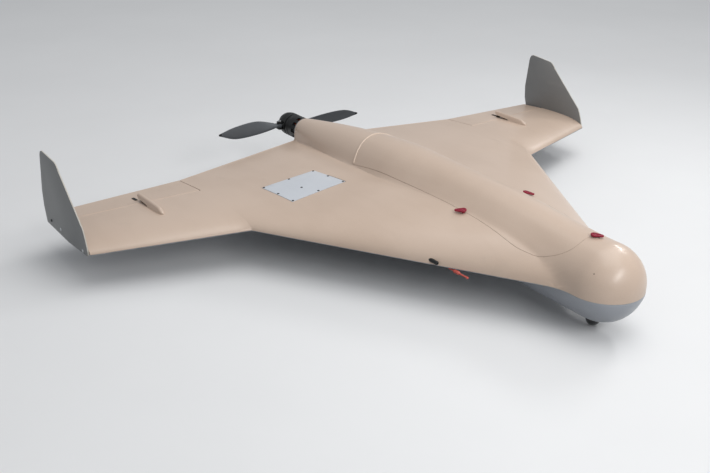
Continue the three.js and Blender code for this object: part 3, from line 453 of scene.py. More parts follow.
    @staticmethod
    def carve(piece: Piece, cut: Cut, *tools: Piece, keep: bool = False) -> Piece:
        """Works tool solids into a piece.

        Args:
            piece: the piece, changed in place.
            cut: what the tools do.
            tools: the tool objects.
            keep: whether the tools stay in the scene.

        Returns:
            The piece.
        """
        for tool in tools:
            step = piece.modifiers.new(tool.name, "BOOLEAN")
            step.solver = "MANIFOLD"
            step.operation = cut.value
            step.object = tool
        Forge.settle(piece)
        if not keep:
            Forge.drop(*tools)
        return piece

    @staticmethod
    def settle(piece: Piece) -> Piece:
        """Makes the piece's modifiers its own mesh and returns it.

        Args:
            piece: the piece, changed in place.

        Returns:
            The piece.
        """
        bpy.context.view_layer.update()
        graph = bpy.context.evaluated_depsgraph_get()
        shaped = bpy.data.meshes.new_from_object(piece.evaluated_get(graph))
        piece.modifiers.clear()
        before, piece.data = piece.data, shaped
        bpy.data.meshes.remove(before)
        return piece

    @staticmethod
    def drop(*pieces: Piece) -> None:
        """Takes tool objects and their meshes out of the scene.

        Args:
            pieces: the objects.
        """
        for piece in pieces:
            data = piece.data
            bpy.data.objects.remove(piece)
            if data.users == 0:
                bpy.data.meshes.remove(data)

    @staticmethod
    def copy(piece: Piece, name: str, move: Triple = (0.0, 0.0, 0.0)) -> Piece:
        """Copy of a piece, moved by millimetres.

        Args:
            piece: what to copy.
            name: the copy's name.
            move: how far it moves.

        Returns:
            The copy.
        """
        twin = Forge.link(name, piece.data.copy())
        twin.data.name = name
        twin.data.transform(Matrix.Translation(Vector(move) * MM))
        return twin

    @staticmethod
    def bevel(piece: Piece, width: float, segments: int = 3, angle: float = 35) -> Piece:
        """Rounds a piece's sharp edges.

        Args:
            piece: the piece, changed in place.
            width: millimetres taken off each side.
            segments: steps of the rounding.
            angle: edges sharper than this many degrees are rounded.

        Returns:
            The piece.
        """
        step = piece.modifiers.new("edge", "BEVEL")
        step.width = width * MM
        step.segments = segments
        step.limit_method = "ANGLE"
        step.angle_limit = math.radians(angle)
        step.use_clamp_overlap = True
        return Forge.settle(piece)

    @staticmethod
    def merge(name: str, pieces: Iterable[Piece]) -> Piece:
        """One object from several, each kept as its own closed shell.

        Args:
            name: the object's name.
            pieces: what to merge; they are used up.

        Returns:
            The new object.
        """
        form = bmesh.new()
        used = list(pieces)
        for piece in used:
            form.from_mesh(piece.data)
        data = bpy.data.meshes.new(name)
        form.to_mesh(data)
        form.free()
        Forge.drop(*used)
        return Forge.link(name, data)


# Shader wiring


class Wire:
    """A shader socket that takes part in arithmetic; each operator adds a Math node."""

    def __init__(self, graph: Graph, socket: bpy.types.NodeSocket) -> None:
        """Holds the socket and the graph it is in."""
        self.graph = graph
        self.socket = socket

    def math(self, operation: str, *operands: Wire | float) -> Wire:
        """Result of a Math node.

        Args:
            operation: the node's operation.
            operands: wires or numbers, in order.

        Returns:
            The node's output.
        """
        return self.graph.out("ShaderNodeMath", "Value", {"operation": operation}, dict(enumerate(operands)))

    def __add__(self, other: Wire | float) -> Wire:
        """Sum."""
        return self.math("ADD", self, other)

    __radd__ = __add__

    def __sub__(self, other: Wire | float) -> Wire:
        """Difference."""
        return self.math("SUBTRACT", self, other)

    def __rsub__(self, other: Wire | float) -> Wire:
        """Difference from a number."""
        return self.math("SUBTRACT", other, self)

    def __mul__(self, other: Wire | float) -> Wire:
        """Product."""
        return self.math("MULTIPLY", self, other)

    __rmul__ = __mul__

    def __truediv__(self, other: Wire | float) -> Wire:
        """Quotient."""
        return self.math("DIVIDE", self, other)

    def __pow__(self, other: Wire | float) -> Wire:
        """Power."""
        return self.math("POWER", self, other)

    def __mod__(self, other: Wire | float) -> Wire:
        """Remainder, never below 0."""
        return self.math("FLOORED_MODULO", self, other)

    def __gt__(self, other: Wire | float) -> Wire:
        """1 where greater."""
        return self.math("GREATER_THAN", self, other)

    def clamp(self) -> Wire:
        """Held between 0 and 1."""
        return self.math("MINIMUM", self.math("MAXIMUM", self, 0.0), 1.0)

    def sine(self) -> Wire:
        """Sine."""
        return self.math("SINE", self)

    def size(self) -> Wire:
        """Absolute value."""
        return self.math("ABSOLUTE", self)


class Graph:
    """A node tree; every node in it comes from one method."""

    def __init__(self, tree: bpy.types.NodeTree) -> None:
        """Takes the tree over."""
        self.tree = tree

    def node(self, kind: str, settings: dict | None = None, sockets: dict | None = None) -> bpy.types.Node:
        """Any node, with its settings first and then its sockets.

        Args:
            kind: the node's type.
            settings: attribute names and values.
            sockets: input names or indices, with wires or values.

        Returns:
            The node.
        """
        node = self.tree.nodes.new(kind)
        for key, value in (settings or {}).items():
            setattr(node, key, value)
        for key, value in (sockets or {}).items():
            self.feed(node.inputs[key], value)
        return node

    def feed(self, socket: bpy.types.NodeSocket, value: Wire | float | Sequence) -> None:
        """Links a wire to a socket, or sets its value.

        Args:
            socket: the input.
            value: a wire or a plain value.
        """
        if isinstance(value, Wire):
            self.tree.links.new(value.socket, socket)
        else:
            socket.default_value = value

    def out(
        self, kind: str, output: str | int, settings: dict | None = None, sockets: dict | None = None
    ) -> Wire:
        """Output of a new node.

        Args:
            kind: the node's type.
            output: the output's name or index.
            settings: attribute names and values.
            sockets: input names or indices, with wires or values.

        Returns:
            The wire from that output.
        """
        return Wire(self, self.node(kind, settings, sockets).outputs[output])


class Surface(Graph):
    """One material's nodes, about its Principled shader."""

    def __init__(self, name: str) -> None:
        """Makes the material and finds its shader."""
        self.material = bpy.data.materials.new(name)
        self.material.use_nodes = True
        super().__init__(self.material.node_tree)
        self.shader = next(n for n in self.tree.nodes if n.type == "BSDF_PRINCIPLED")

    def place(self, stretch: Triple = (1.0, 1.0, 1.0)) -> Wire:
        """Object coordinates in metres, stretched along each axis."""
        here = self.out("ShaderNodeTexCoord", "Object")
        return self.out("ShaderNodeVectorMath", "Vector", {"operation": "MULTIPLY"}, {0: here, 1: stretch})

    def axes(self) -> tuple[Wire, Wire, Wire]:
        """X, Y and Z of the object coordinates in metres."""
        split = self.node("ShaderNodeSeparateXYZ", None, {0: self.out("ShaderNodeTexCoord", "Object")})
        return tuple(Wire(self, split.outputs[i]) for i in range(3))

    def noise(
        self, scale: float, detail: float = 3.0, stretch: Triple = (1.0, 1.0, 1.0), rough: float = 0.55
    ) -> Wire:
        """Noise from 0 to 1.

        Args:
            scale: features per metre.
            detail: octaves.
            stretch: stretch along each axis.
            rough: strength of the finer octaves.

        Returns:
            The noise value.
        """
        sockets = {"Vector": self.place(stretch), "Scale": scale, "Detail": detail, "Roughness": rough}
        return self.out("ShaderNodeTexNoise", "Fac", None, sockets)

    def mix(self, a: Wire | Sequence, b: Wire | Sequence, share: Wire) -> Wire:
        """Blend of two colours.

        Args:
            a: colour at 0, a wire or four numbers.
            b: colour at 1.
            share: the factor.

        Returns:
            The blended colour.
        """
        return self.out("ShaderNodeMix", 2, {"data_type": "RGBA"}, {0: share, 6: a, 7: b})

    def band(self, value: Wire, low: float, high: float) -> Wire:
        """Smooth rise of a value between two limits, from 0 to 1."""
        sockets = {"Value": value, "From Min": low, "From Max": high}
        return self.out("ShaderNodeMapRange", "Result", {"interpolation_type": "SMOOTHSTEP"}, sockets)

    def share(self, low_high: Pair, amount: Wire) -> Wire:
        """Value that an amount from 0 to 1 picks between two limits."""
        low, high = low_high
        return low + (high - low) * amount

    def edges(self, radius: float) -> Wire:
        """Mask of the outer edges within a radius in metres.

        Args:
            radius: reach of the mask.

        Returns:
            The mask, 1 at an edge.
        """
        soft = self.out("ShaderNodeBevel", "Normal", {"samples": 4}, {"Radius": radius})
        true = self.out("ShaderNodeNewGeometry", "Normal")
        match = self.out("ShaderNodeVectorMath", "Value", {"operation": "DOT_PRODUCT"}, {0: soft, 1: true})
        return ((1.0 - match) * 9.0).clamp()

    def bump(self, height: Wire, strength: float, distance: float) -> None:
        """Feeds the shader's normal from a height.

        Args:
            height: the height wire.
            strength: share of the effect.
            distance: metres that a height of 1 stands for.
        """
        sockets = {"Height": height, "Strength": strength, "Distance": distance}
        self.feed(self.shader.inputs["Normal"], self.out("ShaderNodeBump", "Normal", None, sockets))

    def set(self, **values: Wire | float) -> None:
        """Feeds the shader's sockets, named with _ for each space."""
        for key, value in values.items():
            self.feed(self.shader.inputs[key.replace("_", " ")], value)


def srgb(code: str) -> tuple[float, float, float, float]:
    """Linear colour of a six-digit sRGB code.

    Args:
        code: the hex digits.

    Returns:
        Red, green, blue and alpha.
    """
    parts = [int(code[i : i + 2], 16) / 255 for i in (0, 2, 4)]
    linear = [c / 12.92 if c <= 0.04045 else ((c + 0.055) / 1.055) ** 2.4 for c in parts]
    return (*linear, 1.0)


# Finishes


@dataclass(frozen=True)
class Finish:
    """A surface finish: its main colour, a darker tone of it and its gloss."""

    name: str
    color: str
    shade: str
    gloss: Pair = (0.4, 0.55)

    def lay(self, g: Surface) -> None:
        """Wires the finish into a graph; each kind of finish has its own."""
        raise NotImplementedError

    def tone(self, g: Surface, share: Wire) -> Wire:
        """Colour on the way from the darker tone to the main colour."""
        return g.mix(srgb(self.shade), srgb(self.color), share)

    def material(self) -> Material:
        """Builds the finish's material."""
        surface = Surface(self.name)
        self.lay(surface)
        return surface.material


@dataclass(frozen=True)
class Paint(Finish):
    """Sprayed paint with a faint orange peel, dust specks and handling marks."""

    coat: float = 0.0
    peel: float = 0.00002
    worn: str = "8d8478"
    wear: float = 0.5
    dust: float = 0.12

    def lay(self, g: Surface) -> None:
        """Colour drifts over the panels, with fine grain, smudges and worn edges.

        Args:
            g: the material's nodes.
        """
        cloud = g.noise(4.5, 4.0)
        grain = g.noise(900.0, 2.0)
        streak = g.noise(16.0, 5.0, (1.0, 0.16, 1.0), 0.65)
        drift = (cloud * 0.55 + grain * 0.2 + streak * 0.25).clamp()
        base = self.tone(g, g.band(drift, 0.3, 0.62))
        smudge = g.band(g.noise(11.0, 6.0, (1.0, 0.5, 1.0), 0.7), 0.58, 0.78)
        base = g.mix(base, srgb(self.worn), smudge * self.dust)
        chips = g.edges(0.0007) * g.band(g.noise(140.0, 4.0), 0.5, 0.62)
        base = g.mix(base, srgb(self.worn), chips * self.wear)
        rough = g.share(self.gloss, 0.45 * streak + 0.55 * smudge + 0.25 * grain) + chips * 0.2
        g.set(Base_Color=base, Roughness=rough.clamp(), Coat_Weight=self.coat, Coat_Roughness=0.16)
        g.bump(g.noise(420.0, 2.0) * 0.7 + grain * 0.3, 0.35, self.peel)


@dataclass(frozen=True)
class Moulding(Finish):
    """Moulded plastic with a fine spark texture and scuffed edges."""

    texture: float = 0.00006
    scale: float = 1600.0
    edge: str = "5a5c5e"
    scuff: float = 0.4
    coat: float = 0.0

    def lay(self, g: Surface) -> None:
        """Speckled texture, faint flow marks and paler rubbed edges.

        Args:
            g: the material's nodes.
        """
        speck = g.noise(self.scale, 2.0)
        flow = g.noise(60.0, 4.0, (1.0, 0.3, 1.0))
        base = self.tone(g, (flow * 0.7 + speck * 0.3).clamp())
        rub = g.edges(0.0005) * g.band(g.noise(220.0, 3.0), 0.42, 0.6)
        base = g.mix(base, srgb(self.edge), rub * self.scuff)
        rough = g.share(self.gloss, flow) + rub * 0.1
        g.set(Base_Color=base, Roughness=rough.clamp(), Coat_Weight=self.coat)
        g.bump(speck, 0.5, self.texture)


@dataclass(frozen=True)
class Metal(Finish):
    """Turned or brushed metal with fine lines and worn edges."""

    brush: Triple = (1.0, 12.0, 1.0)
    edge: str = "d8dadc"
    metallic: float = 1.0

    def lay(self, g: Surface) -> None:
        """Fine tool lines in the gloss and the bump, with bright edges.

        Args:
            g: the material's nodes.
        """
        lines = g.noise(700.0, 3.0, self.brush)
        cloud = g.noise(45.0, 4.0)
        base = self.tone(g, (lines * 0.5 + cloud * 0.5).clamp())
        base = g.mix(base, srgb(self.edge), g.edges(0.0004) * 0.6)
        rough = g.share(self.gloss, lines * 0.6 + cloud * 0.4)
        g.set(Base_Color=base, Roughness=rough.clamp(), Metallic=self.metallic)
        g.bump(lines, 0.3, 0.00002)


@dataclass(frozen=True)
class Laminate(Finish):
    """Woven laminate in a two-by-two twill under clear resin."""

    tow: float = 0.002

    def lay(self, g: Surface) -> None:
        """Tows cross over and under, each with its own sheen.

        Args:
            g: the material's nodes.
        """
        x, y, z = g.axes()
        u, v = (x + z * 0.5) / self.tow, (y + z * 0.5) / self.tow
        column, row = u.math("FLOOR", u), v.math("FLOOR", v)
        over = ((column + row) % 4.0) > 1.5
        across = ((u % 1.0) - 0.5).size() * 2.0
        along = ((v % 1.0) - 0.5).size() * 2.0
        crown = 1.0 - (over * across + (1.0 - over) * along) ** 3.0
        fray = g.noise(500.0, 3.0)
        base = self.tone(g, (over * 0.6 + crown * 0.25 + fray * 0.2).clamp())
        g.set(Base_Color=base, Roughness=g.share(self.gloss, over * 0.6 + fray * 0.4).clamp())
        g.bump(crown + fray * 0.2, 0.5, 0.00008)


@dataclass(frozen=True)
class Timber(Finish):
    """Thin birch plywood with long grain, pores and dark glue lines on cut edges."""

    ply: float = 0.0008

    def lay(self, g: Surface) -> None:
        """Grain runs across the span, with glue lines through the thickness.

        Args:
            g: the material's nodes.
        """
        rings = g.noise(26.0, 5.0, (0.25, 1.0, 2.4), 0.6)
        pores = g.noise(420.0, 2.0, (0.06, 1.0, 1.0))
        grain = ((rings * 34.0).sine() * 0.5 + 0.5) * 0.5 + pores * 0.5
        base = self.tone(g, grain.clamp())
        _, y, z = g.axes()
        glue = g.band((((y + z) / self.ply) % 2.0 - 1.0).size(), 0.86, 0.97)
        base = g.mix(base, srgb("6b4a2c"), glue * g.edges(0.0012))
        g.set(Base_Color=base, Roughness=g.share(self.gloss, grain).clamp())
        g.bump(grain, 0.4, 0.00006)


@dataclass(frozen=True)
class Board(Finish):
    """Circuit board: solder mask over routed copper, with tinned pads."""

    pitch: float = 0.0026

    def lay(self, g: Surface) -> None:
        """Raised traces step along a grid, and pads stand at some crossings.

        Args:
            g: the material's nodes.
        """
        x, y, _ = g.axes()
        u, v = x / self.pitch, y / self.pitch
        wander = g.noise(90.0, 1.0)
        trace = g.band(((u + wander * 3.0) % 1.0 - 0.5).size(), 0.28, 0.34)
        gap = g.band(g.noise(150.0, 1.0), 0.44, 0.5)
        pads = 1.0 - g.band((((u % 1.0) - 0.5) ** 2.0 + ((v % 1.0) - 0.5) ** 2.0), 0.02, 0.04)
        pads = pads * g.band(g.noise(210.0, 0.0), 0.55, 0.57)
        copper = trace * gap
        base = self.tone(g, copper)
        base = g.mix(base, srgb("c9ccc8"), pads)
        g.set(Base_Color=base, Roughness=g.share(self.gloss, wander).clamp(), Metallic=pads * 0.8)
        g.bump(copper * 0.5 + pads, 0.6, 0.00008)


@dataclass(frozen=True)
class Film(Finish):
    """Shrink film drawn over cells, with creases and glossy highlights."""

    def lay(self, g: Surface) -> None:
        """Creases gather across the film, and print-free colour fades at the folds.

        Args:
            g: the material's nodes.
        """
        crease = g.noise(34.0, 5.0, (1.0, 0.35, 1.6), 0.62)
        cells = g.noise(9.0, 2.0)
        base = self.tone(g, (crease * 0.6 + cells * 0.4).clamp())
        base = g.mix(base, srgb("93a3cf"), g.edges(0.0015) * 0.5)
        rough = g.share(self.gloss, crease).clamp()
        g.set(Base_Color=base, Roughness=rough, Coat_Weight=0.4, Coat_Roughness=0.12)
        g.bump(crease, 0.7, 0.0006)


@dataclass(frozen=True)
class Web(Finish):
    """Woven strap with cross ribs and a few fluffed threads."""

    rib: float = 0.0011

    def lay(self, g: Surface) -> None:
        """Ribs run across the strap, with threads between them.

        Args:
            g: the material's nodes.
        """
        x, y, z = g.axes()
        ribs = ((x + z) * (2 * math.pi / self.rib)).sine() * 0.5 + 0.5
        threads = (y * (2 * math.pi / (self.rib * 0.8))).sine() * 0.5 + 0.5
        fluff = g.noise(800.0, 4.0)
        weave = (ribs * 0.6 + threads * 0.25 + fluff * 0.3).clamp()
        base = self.tone(g, weave)
        g.set(Base_Color=base, Roughness=g.share(self.gloss, fluff).clamp())
        g.bump(weave, 0.8, 0.0002)


@dataclass(frozen=True)
class Enamel(Finish):
    """Enamelled copper wire, with darker varnish between the turns."""

    def lay(self, g: Surface) -> None:
        """Varnish pools darken the copper in patches.

        Args:
            g: the material's nodes.
        """
        pool = g.band(g.noise(300.0, 4.0), 0.4, 0.66)
        haze = g.noise(900.0, 2.0)
        base = g.mix(srgb(self.color), srgb(self.shade), pool)
        g.set(Base_Color=base, Roughness=g.share(self.gloss, haze).clamp(), Metallic=1.0 - pool * 0.5)
        g.bump(haze, 0.3, 0.00002)


@dataclass(frozen=True)
class Smoke(Finish):
    """Smoked clear plastic over a dark camera, with wipe marks and dust."""

    def lay(self, g: Surface) -> None:
        """Mostly black and glossy, with faint wipes in the gloss.

        Args:
            g: the material's nodes.
        """
        wipe = g.noise(40.0, 5.0, (1.0, 0.3, 1.0), 0.65)
        dust = g.band(g.noise(1300.0, 1.0), 0.72, 0.8)
        base = self.tone(g, (wipe * 0.5 + dust * 0.5).clamp())
        rough = (g.share(self.gloss, wipe) + dust * 0.2).clamp()
        g.set(Base_Color=base, Roughness=rough, Coat_Weight=1.0, Coat_Roughness=0.03)
        g.bump(wipe, 0.1, 0.00002)


class Look(Enum):
    """The drone's finishes, named as the record's material slots are."""

    SAND = Paint("sand_paint", "d2bcaa", "c7b09d", (0.34, 0.48), coat=0.25)
    PALE_BLUE = Paint("pale_blue_paint", "a8acb3", "999da4", (0.34, 0.5), coat=0.2, worn="6f7378", dust=0.3)
    GREY = Paint("grey_plastic", "8b8c8c", "7e8081", (0.42, 0.58), worn="c2c0ba", wear=0.9, peel=0.00003)
    PANEL = Paint("white_panel", "d2d5da", "c6cad0", (0.4, 0.52), worn="a9acb0", dust=0.08)
    # The next two are paler copies of the sand paint and the grey plastic: a painted highlight along the
    # hatch's rear bead and along the fins' edges.
    BEAD_PAINTED_HIGHLIGHT = Paint("sand_bead_painted_highlight", "dcc8b6", "d2bdaa", (0.45, 0.55), dust=0.05)
    FIN_EDGE_PAINTED_HIGHLIGHT = Paint("fin_edge_painted_highlight", "cdc8be", "beb9af", (0.5, 0.6), dust=0.2)
    CRIMSON = Moulding("crimson_plastic", "a00f33", "780a26", (0.3, 0.42), texture=0.00001, edge="b83a58")
    RED = Moulding("red_plastic", "d8695c", "b94a3f", (0.35, 0.48), edge="e8a79c")
    BLADE = Moulding("blade_grey", "5b5e62", "4e5256", (0.34, 0.5), scale=900.0, edge="8b8f93")
    SHOE = Moulding("shoe_plastic", "222427", "16181a", (0.45, 0.62))
    BLACK = Moulding("black_plastic", "131416", "0a0b0c", (0.4, 0.56))
    ANODISED = Metal("black_anodised", "0f1011", "070708", (0.34, 0.5), edge="3c3e42", metallic=0.1)
    STEEL = Metal("steel", "d4d6d8", "aeb1b4", (0.22, 0.36))
    COPPER = Enamel("copper_wire", "c8603a", "6b2717", (0.28, 0.45))
    CARBON = Laminate("carbon_laminate", "3a3d42", "15171a", (0.22, 0.36))
    PLYWOOD = Timber("plywood", "dcbf93", "b08a58", (0.55, 0.75))
    CIRCUIT = Board("circuit_board", "2f7a55", "1c4d38", (0.3, 0.45))
    WRAP = Film("battery_wrap", "2d4fa8", "1d347a", (0.2, 0.36))
    WEB = Web("strap_web", "2a2c30", "101114", (0.7, 0.9))
    DOME = Smoke("smoked_dome", "1c2026", "07090c", (0.04, 0.12))

    @property
    def slot(self) -> str:
        """The record's material slot; the paler copies painted as highlights on the hatch bead and the fins'
        edges share their neighbours'.
        """
        return {"sand_bead_painted_highlight": "sand_paint", "fin_edge_painted_highlight": "grey_plastic"}.get(self.value.name, self.value.name)


class Finishes:
    """Materials of the looks, each made once."""

    def __init__(self) -> None:
        """Starts with none made."""
        self._made: dict[str, Material] = {}

    def get(self, look: Look) -> Material:
        """A look's material, made at its first use.

        Args:
            look: the look.

        Returns:
            Its material.
        """
        if look.value.name not in self._made:
            self._made[look.value.name] = look.value.material()
        return self._made[look.value.name]


# The body's surfaces


@dataclass(frozen=True)
class Detail:
    """Rows and columns of the body's surface in each of its zones."""

    nose: int = 24
    front: int = 44
    chord: int = 30
    tail: int = 18
    hump: int = 20
    edge: int = 20
    panel: int = 12


@dataclass(frozen=True)
class BodyForm:
    """Upper and lower surfaces of the blended body."""

    half_span: float = 605
    kink_x: float = 344
    tip_lead_y: float = -186.5
    tip_trail_y: float = 0
    kink_lead_y: float = -274.5
    kink_trail_y: float = -11
    root_lead_x: float = 99
    root_lead_y: float = -680
    shoulder_y: float = -748
    nose_edge_z: float = 5
    kink_trail_z: float = 13
    tail_edge_z: float = 14.5
    tip_lead_z: float = -7
    tip_trail_z: float = 2
    edge_half: float = 0.8
    upper_shares: Triple = (0.0755, 0.06, 0.07)
    lower_shares: Triple = (0.042, 0.038, 0.034)
    flat_share: float = 0.4
    nose_y: float = -771
    nose_r: float = 65
    nose_turn: float = math.radians(2)
    body_r: float = 77
    swell: Pair = (-760, -520)
    taper_from_y: float = -300
    taper_power: float = 1.5
    tail_y: float = 66
    tail_r: float = 26.5
    tail_flare: float = 1.03
    nose_z: float = 13
    mid_y: float = -465
    mid_z: float = 15
    tail_z: float = 29.5
    belly_r: float = 57.5
    belly: Pair = (-700, -400)
    shoulder_blend: float = 18
    tail_blend: float = 5
    outline_blend: float = 14
    lead: float = 3
    trail: float = 8

    def lead_y(self, side: Value) -> Value:
        """Leading edge's y at a distance from the centre plane.

        Args:
            side: distance from the centre plane.

        Returns:
            The edge's y.
        """
        inner = remap(side, self.kink_x, self.root_lead_x, self.kink_lead_y, self.root_lead_y)
        outer = remap(side, self.kink_x, self.half_span, self.kink_lead_y, self.tip_lead_y)
        return np.where(side > self.kink_x, outer, np.maximum(inner, self.shoulder_y))

    def trail_y(self, side: Value) -> Value:
        """Trailing edge's y at a distance from the centre plane.

        Args:
            side: distance from the centre plane.

        Returns:
            The edge's y.
        """
        inner = remap(side, self.kink_x, 0, self.kink_trail_y, self.tail_y)
        outer = remap(side, self.kink_x, self.half_span, self.kink_trail_y, self.tip_trail_y)
        return np.where(side > self.kink_x, outer, inner)

    def chord_share(self, side: Value, y: Value, inset: float = 0) -> Value:
        """Share of the chord at a place, between edges drawn in by the inset."""
        start = self.lead_y(side) + self.lead * inset
        return (y - start) / (self.trail_y(side) - self.trail * inset - start)

    def along_span(self, side: Value, shares: Triple) -> Value:
        """Value that changes straight from root to kink to tip.

        Args:
            side: distance from the centre plane.
            shares: values at the root, kink and tip.

        Returns:
            The value there.
        """
        root, kink, tip = shares
        outer = remap(side, self.kink_x, self.half_span, kink, tip)
        return np.where(side > self.kink_x, outer, remap(side, 0, self.kink_x, root, kink))

    def parting_z(self, side: Value, y: Value) -> Value:
        """Height at which the upper and lower skins meet.

        Args:
            side: distance from the centre plane.
            y: place along the body.

        Returns:
            The height.
        """
        span = self.kink_trail_y - self.kink_lead_y
        t = np.clip((y - self.kink_lead_y) / span, 0, 1)
        rear = remap(y, self.kink_trail_y, self.tail_y, self.kink_trail_z, self.tail_edge_z)
        inner = np.where(y > self.kink_trail_y, rear, lerp(self.nose_edge_z, self.kink_trail_z, t))
        share = self.chord_share(side, y)
        outward = (side - self.kink_x) / (self.half_span - self.kink_x)
        at_kink = lerp(self.nose_edge_z, self.kink_trail_z, share)
        outer = lerp(at_kink, lerp(self.tip_lead_z, self.tip_trail_z, share), outward)
        return np.where(side <= self.kink_x, inner, outer)

    def axis_z(self, y: Value) -> Value:
        """Height of the fuselage axis."""
        front = remap(np.maximum(y, self.nose_y), self.nose_y, self.mid_y, self.nose_z, self.mid_z)
        return np.where(y < self.mid_y, front, remap(y, self.mid_y, self.tail_y, self.mid_z, self.tail_z))

    def radius(self, y: Value, inset: float, full: float, rise: Pair) -> Value:
        """Fuselage radius at a row, for the top or for the belly.

        Args:
            y: the row.
            inset: how far the surface is drawn in.
            full: radius in the middle.
            rise: where it changes from the nose's radius to that.

        Returns:
            The radius.
        """
        ball = np.sqrt(np.maximum((self.nose_r - inset) ** 2 - (y - self.nose_y) ** 2, 0))
        barrel = lerp(self.nose_r, full, smoothstep(y, *rise))
        along = np.maximum(y - self.taper_from_y, 0) / (self.tail_y - self.taper_from_y)
        barrel = barrel - (barrel - self.tail_r) * along**self.taper_power
        return np.where(y < self.nose_y, ball, barrel - inset)

    def top_radius(self, y: Value, inset: float = 0) -> Value:
        """Radius of the fuselage's top."""
        return self.radius(y, inset, self.body_r, self.swell)

    def blend(self, y: Value) -> Value:
        """Width of the fillet between wing and fuselage."""
        return lerp(self.shoulder_blend, self.tail_blend, smoothstep(y, self.taper_from_y, self.tail_y))

    def upper_z(self, x: Value, y: Value, inset: float = 0) -> Value:
        """Height of the upper surface.

        Args:
            x: place across the body.
            y: place along the body.
            inset: how far the surface is drawn in.

        Returns:
            The height.
        """
        side = np.abs(x)
        edge = self.parting_z(side, y)
        chord = self.trail_y(side) - self.lead_y(side)
        thick = chord * self.along_span(side, self.upper_shares) * foil(self.chord_share(side, y, inset))
        hump = self.axis_z(y) + arch(self.top_radius(y, inset), side)
        whole = smooth_max(edge + np.maximum(thick - inset, 0), hump, self.blend(y))
        return np.maximum(whole, edge + self.edge_half)

    def lower_z(self, x: Value, y: Value, inset: float = 0) -> Value:
        """Height of the lower surface.

        Args:
            x: place across the body.
            y: place along the body.
            inset: how far the surface is drawn in.

        Returns:
            The height.
        """
        side = np.abs(x)
        edge = self.parting_z(side, y)
        chord = self.trail_y(side) - self.lead_y(side)
        t = self.chord_share(side, y, inset)
        rest = 1 - np.clip(t / self.flat_share, 0, 1)
        flat = foil(t) * np.sqrt(1 - rest * rest)
        wing = edge - np.maximum(chord * self.along_span(side, self.lower_shares) * flat - inset, 0)
        belly = self.axis_z(y) - arch(self.radius(y, inset, self.belly_r, self.belly), side)
        whole = -smooth_max(-wing, -belly, self.blend(y))
        return np.minimum(whole, edge - self.edge_half)

    def swept_half(self, y: float, inset: float) -> float:
        """Half width of the outline ahead of the kink.

        Args:
            y: place along the body.
            inset: how far the surface is drawn in.

        Returns:
            The half width.
        """
        radius = float(self.top_radius(y, inset))
        if y < self.nose_y:
            return radius
        swept = remap(y, self.root_lead_y, self.kink_lead_y, self.root_lead_x, self.kink_x)
        return float(smooth_max(radius, swept - self.lead * inset, self.outline_blend))

    def tail_half(self, y: float, inset: float) -> float:
        """Half width of the outline behind the kink.

        Args:
            y: place along the body.
            inset: how far the surface is drawn in.

        Returns:
            The half width.
        """
        radius = float(self.top_radius(y, inset))
        drop = float(self.axis_z(y)) - self.tail_edge_z
        whole = self.tail_flare * radius
        half = math.sqrt(max(radius**2 - drop**2, 1)) if inset > 0 else whole
        start, end = self.kink_trail_y - self.trail * inset, self.tail_y - self.trail * inset
        return max(half, remap(y, start, end, self.kink_x, 0))

    def rows(self, inset: float, d: Detail) -> list[tuple[float, float, bool]]:
        """Rows from nose to tail, each with its half width and whether it runs into the outer panels.

        Args:
            inset: how far the surface is drawn in.
            d: the counts.

        Returns:
            The rows as (y, half width, on the wing).
        """
        rows = []
        for i in range(d.nose + 1):
            angle = lerp(self.nose_turn, math.pi / 2, i / d.nose)
            y = self.nose_y - (self.nose_r - inset) * math.cos(angle)
            rows.append((y, self.swept_half(y, inset), False))
        start = self.kink_lead_y + self.lead * inset
        end = self.kink_trail_y - self.trail * inset
        for i in range(1, d.front):
            y = lerp(self.nose_y, start, (i / d.front) ** 1.25)
            rows.append((y, self.swept_half(y, inset), False))
        for i in range(d.chord + 1):
            y = lerp(start, end, 1 - math.cos((i / d.chord) * math.pi / 2))
            rows.append((y, self.kink_x, True))
        for i in range(1, d.tail):
            half = self.kink_x * (self.tail_flare * self.tail_r / self.kink_x) ** (i / (d.tail - 1))
            y = remap(half, self.kink_x, 0, end, self.tail_y - self.trail * inset)
            rows.append((y, self.tail_half(y, inset), False))
        last = self.tail_y + 2 if inset > 0 else self.tail_y
        rows.append((last, self.tail_half(last, inset), False))
        return rows

    def row_points(self, row: tuple[float, float, bool], inset: float, d: Detail) -> np.ndarray:
        """Plan points of a row from starboard to port.

        Args:
            row: the row.
            inset: how far the surface is drawn in.
            d: the counts.

        Returns:
            (x, y) points.
        """
        y, half, wing = row
        shoulder = min(1.1 * float(self.top_radius(y, inset)), 0.86 * half)
        port = [(shoulder * math.sin((i / d.hump) * math.pi / 2), y) for i in range(1, d.hump + 1)]
        port += [(lerp(half, shoulder, (1 - i / d.edge) ** 2), y) for i in range(1, d.edge + 1)]
        if wing:
            share = (y - self.kink_lead_y) / (self.kink_trail_y - self.kink_lead_y)
            for i in range(1, d.panel + 1):
                x = lerp(self.kink_x, self.half_span - self.lead * inset, i / d.panel)
                port.append((x, lerp(float(self.lead_y(x)), float(self.trail_y(x)), share)))
        starboard = [(-x, py) for x, py in reversed(port)]
        return np.array([*starboard, (0.0, y), *port])

    def hull(self, name: str, inset: float, d: Detail) -> Piece:
        """Closed body between the two surfaces, drawn in by an inset.

        Args:
            name: object name.
            inset: how far it is drawn in.
            d: the counts.

        Returns:
            The solid.
        """
        rows = self.rows(inset, d)
        plans = [self.row_points(row, inset, d) for row in rows]
        starts = np.cumsum([0, *(2 * len(p) for p in plans)])
        points = []
        for plan in plans:
            x, y = plan[:, 0], plan[:, 1]
            points.append(np.column_stack([x, y, self.upper_z(x, y, inset)]))
            points.append(np.column_stack([x, y, self.lower_z(x, y, inset)]))

        def top(i: int, c: int) -> int:
            """Index of the upper point in row i, c places to port."""
            return int(starts[i]) + (len(plans[i]) - 1) // 2 + c

        def low(i: int, c: int) -> int:
            """Index of the lower point there."""
            return top(i, c) + len(plans[i])

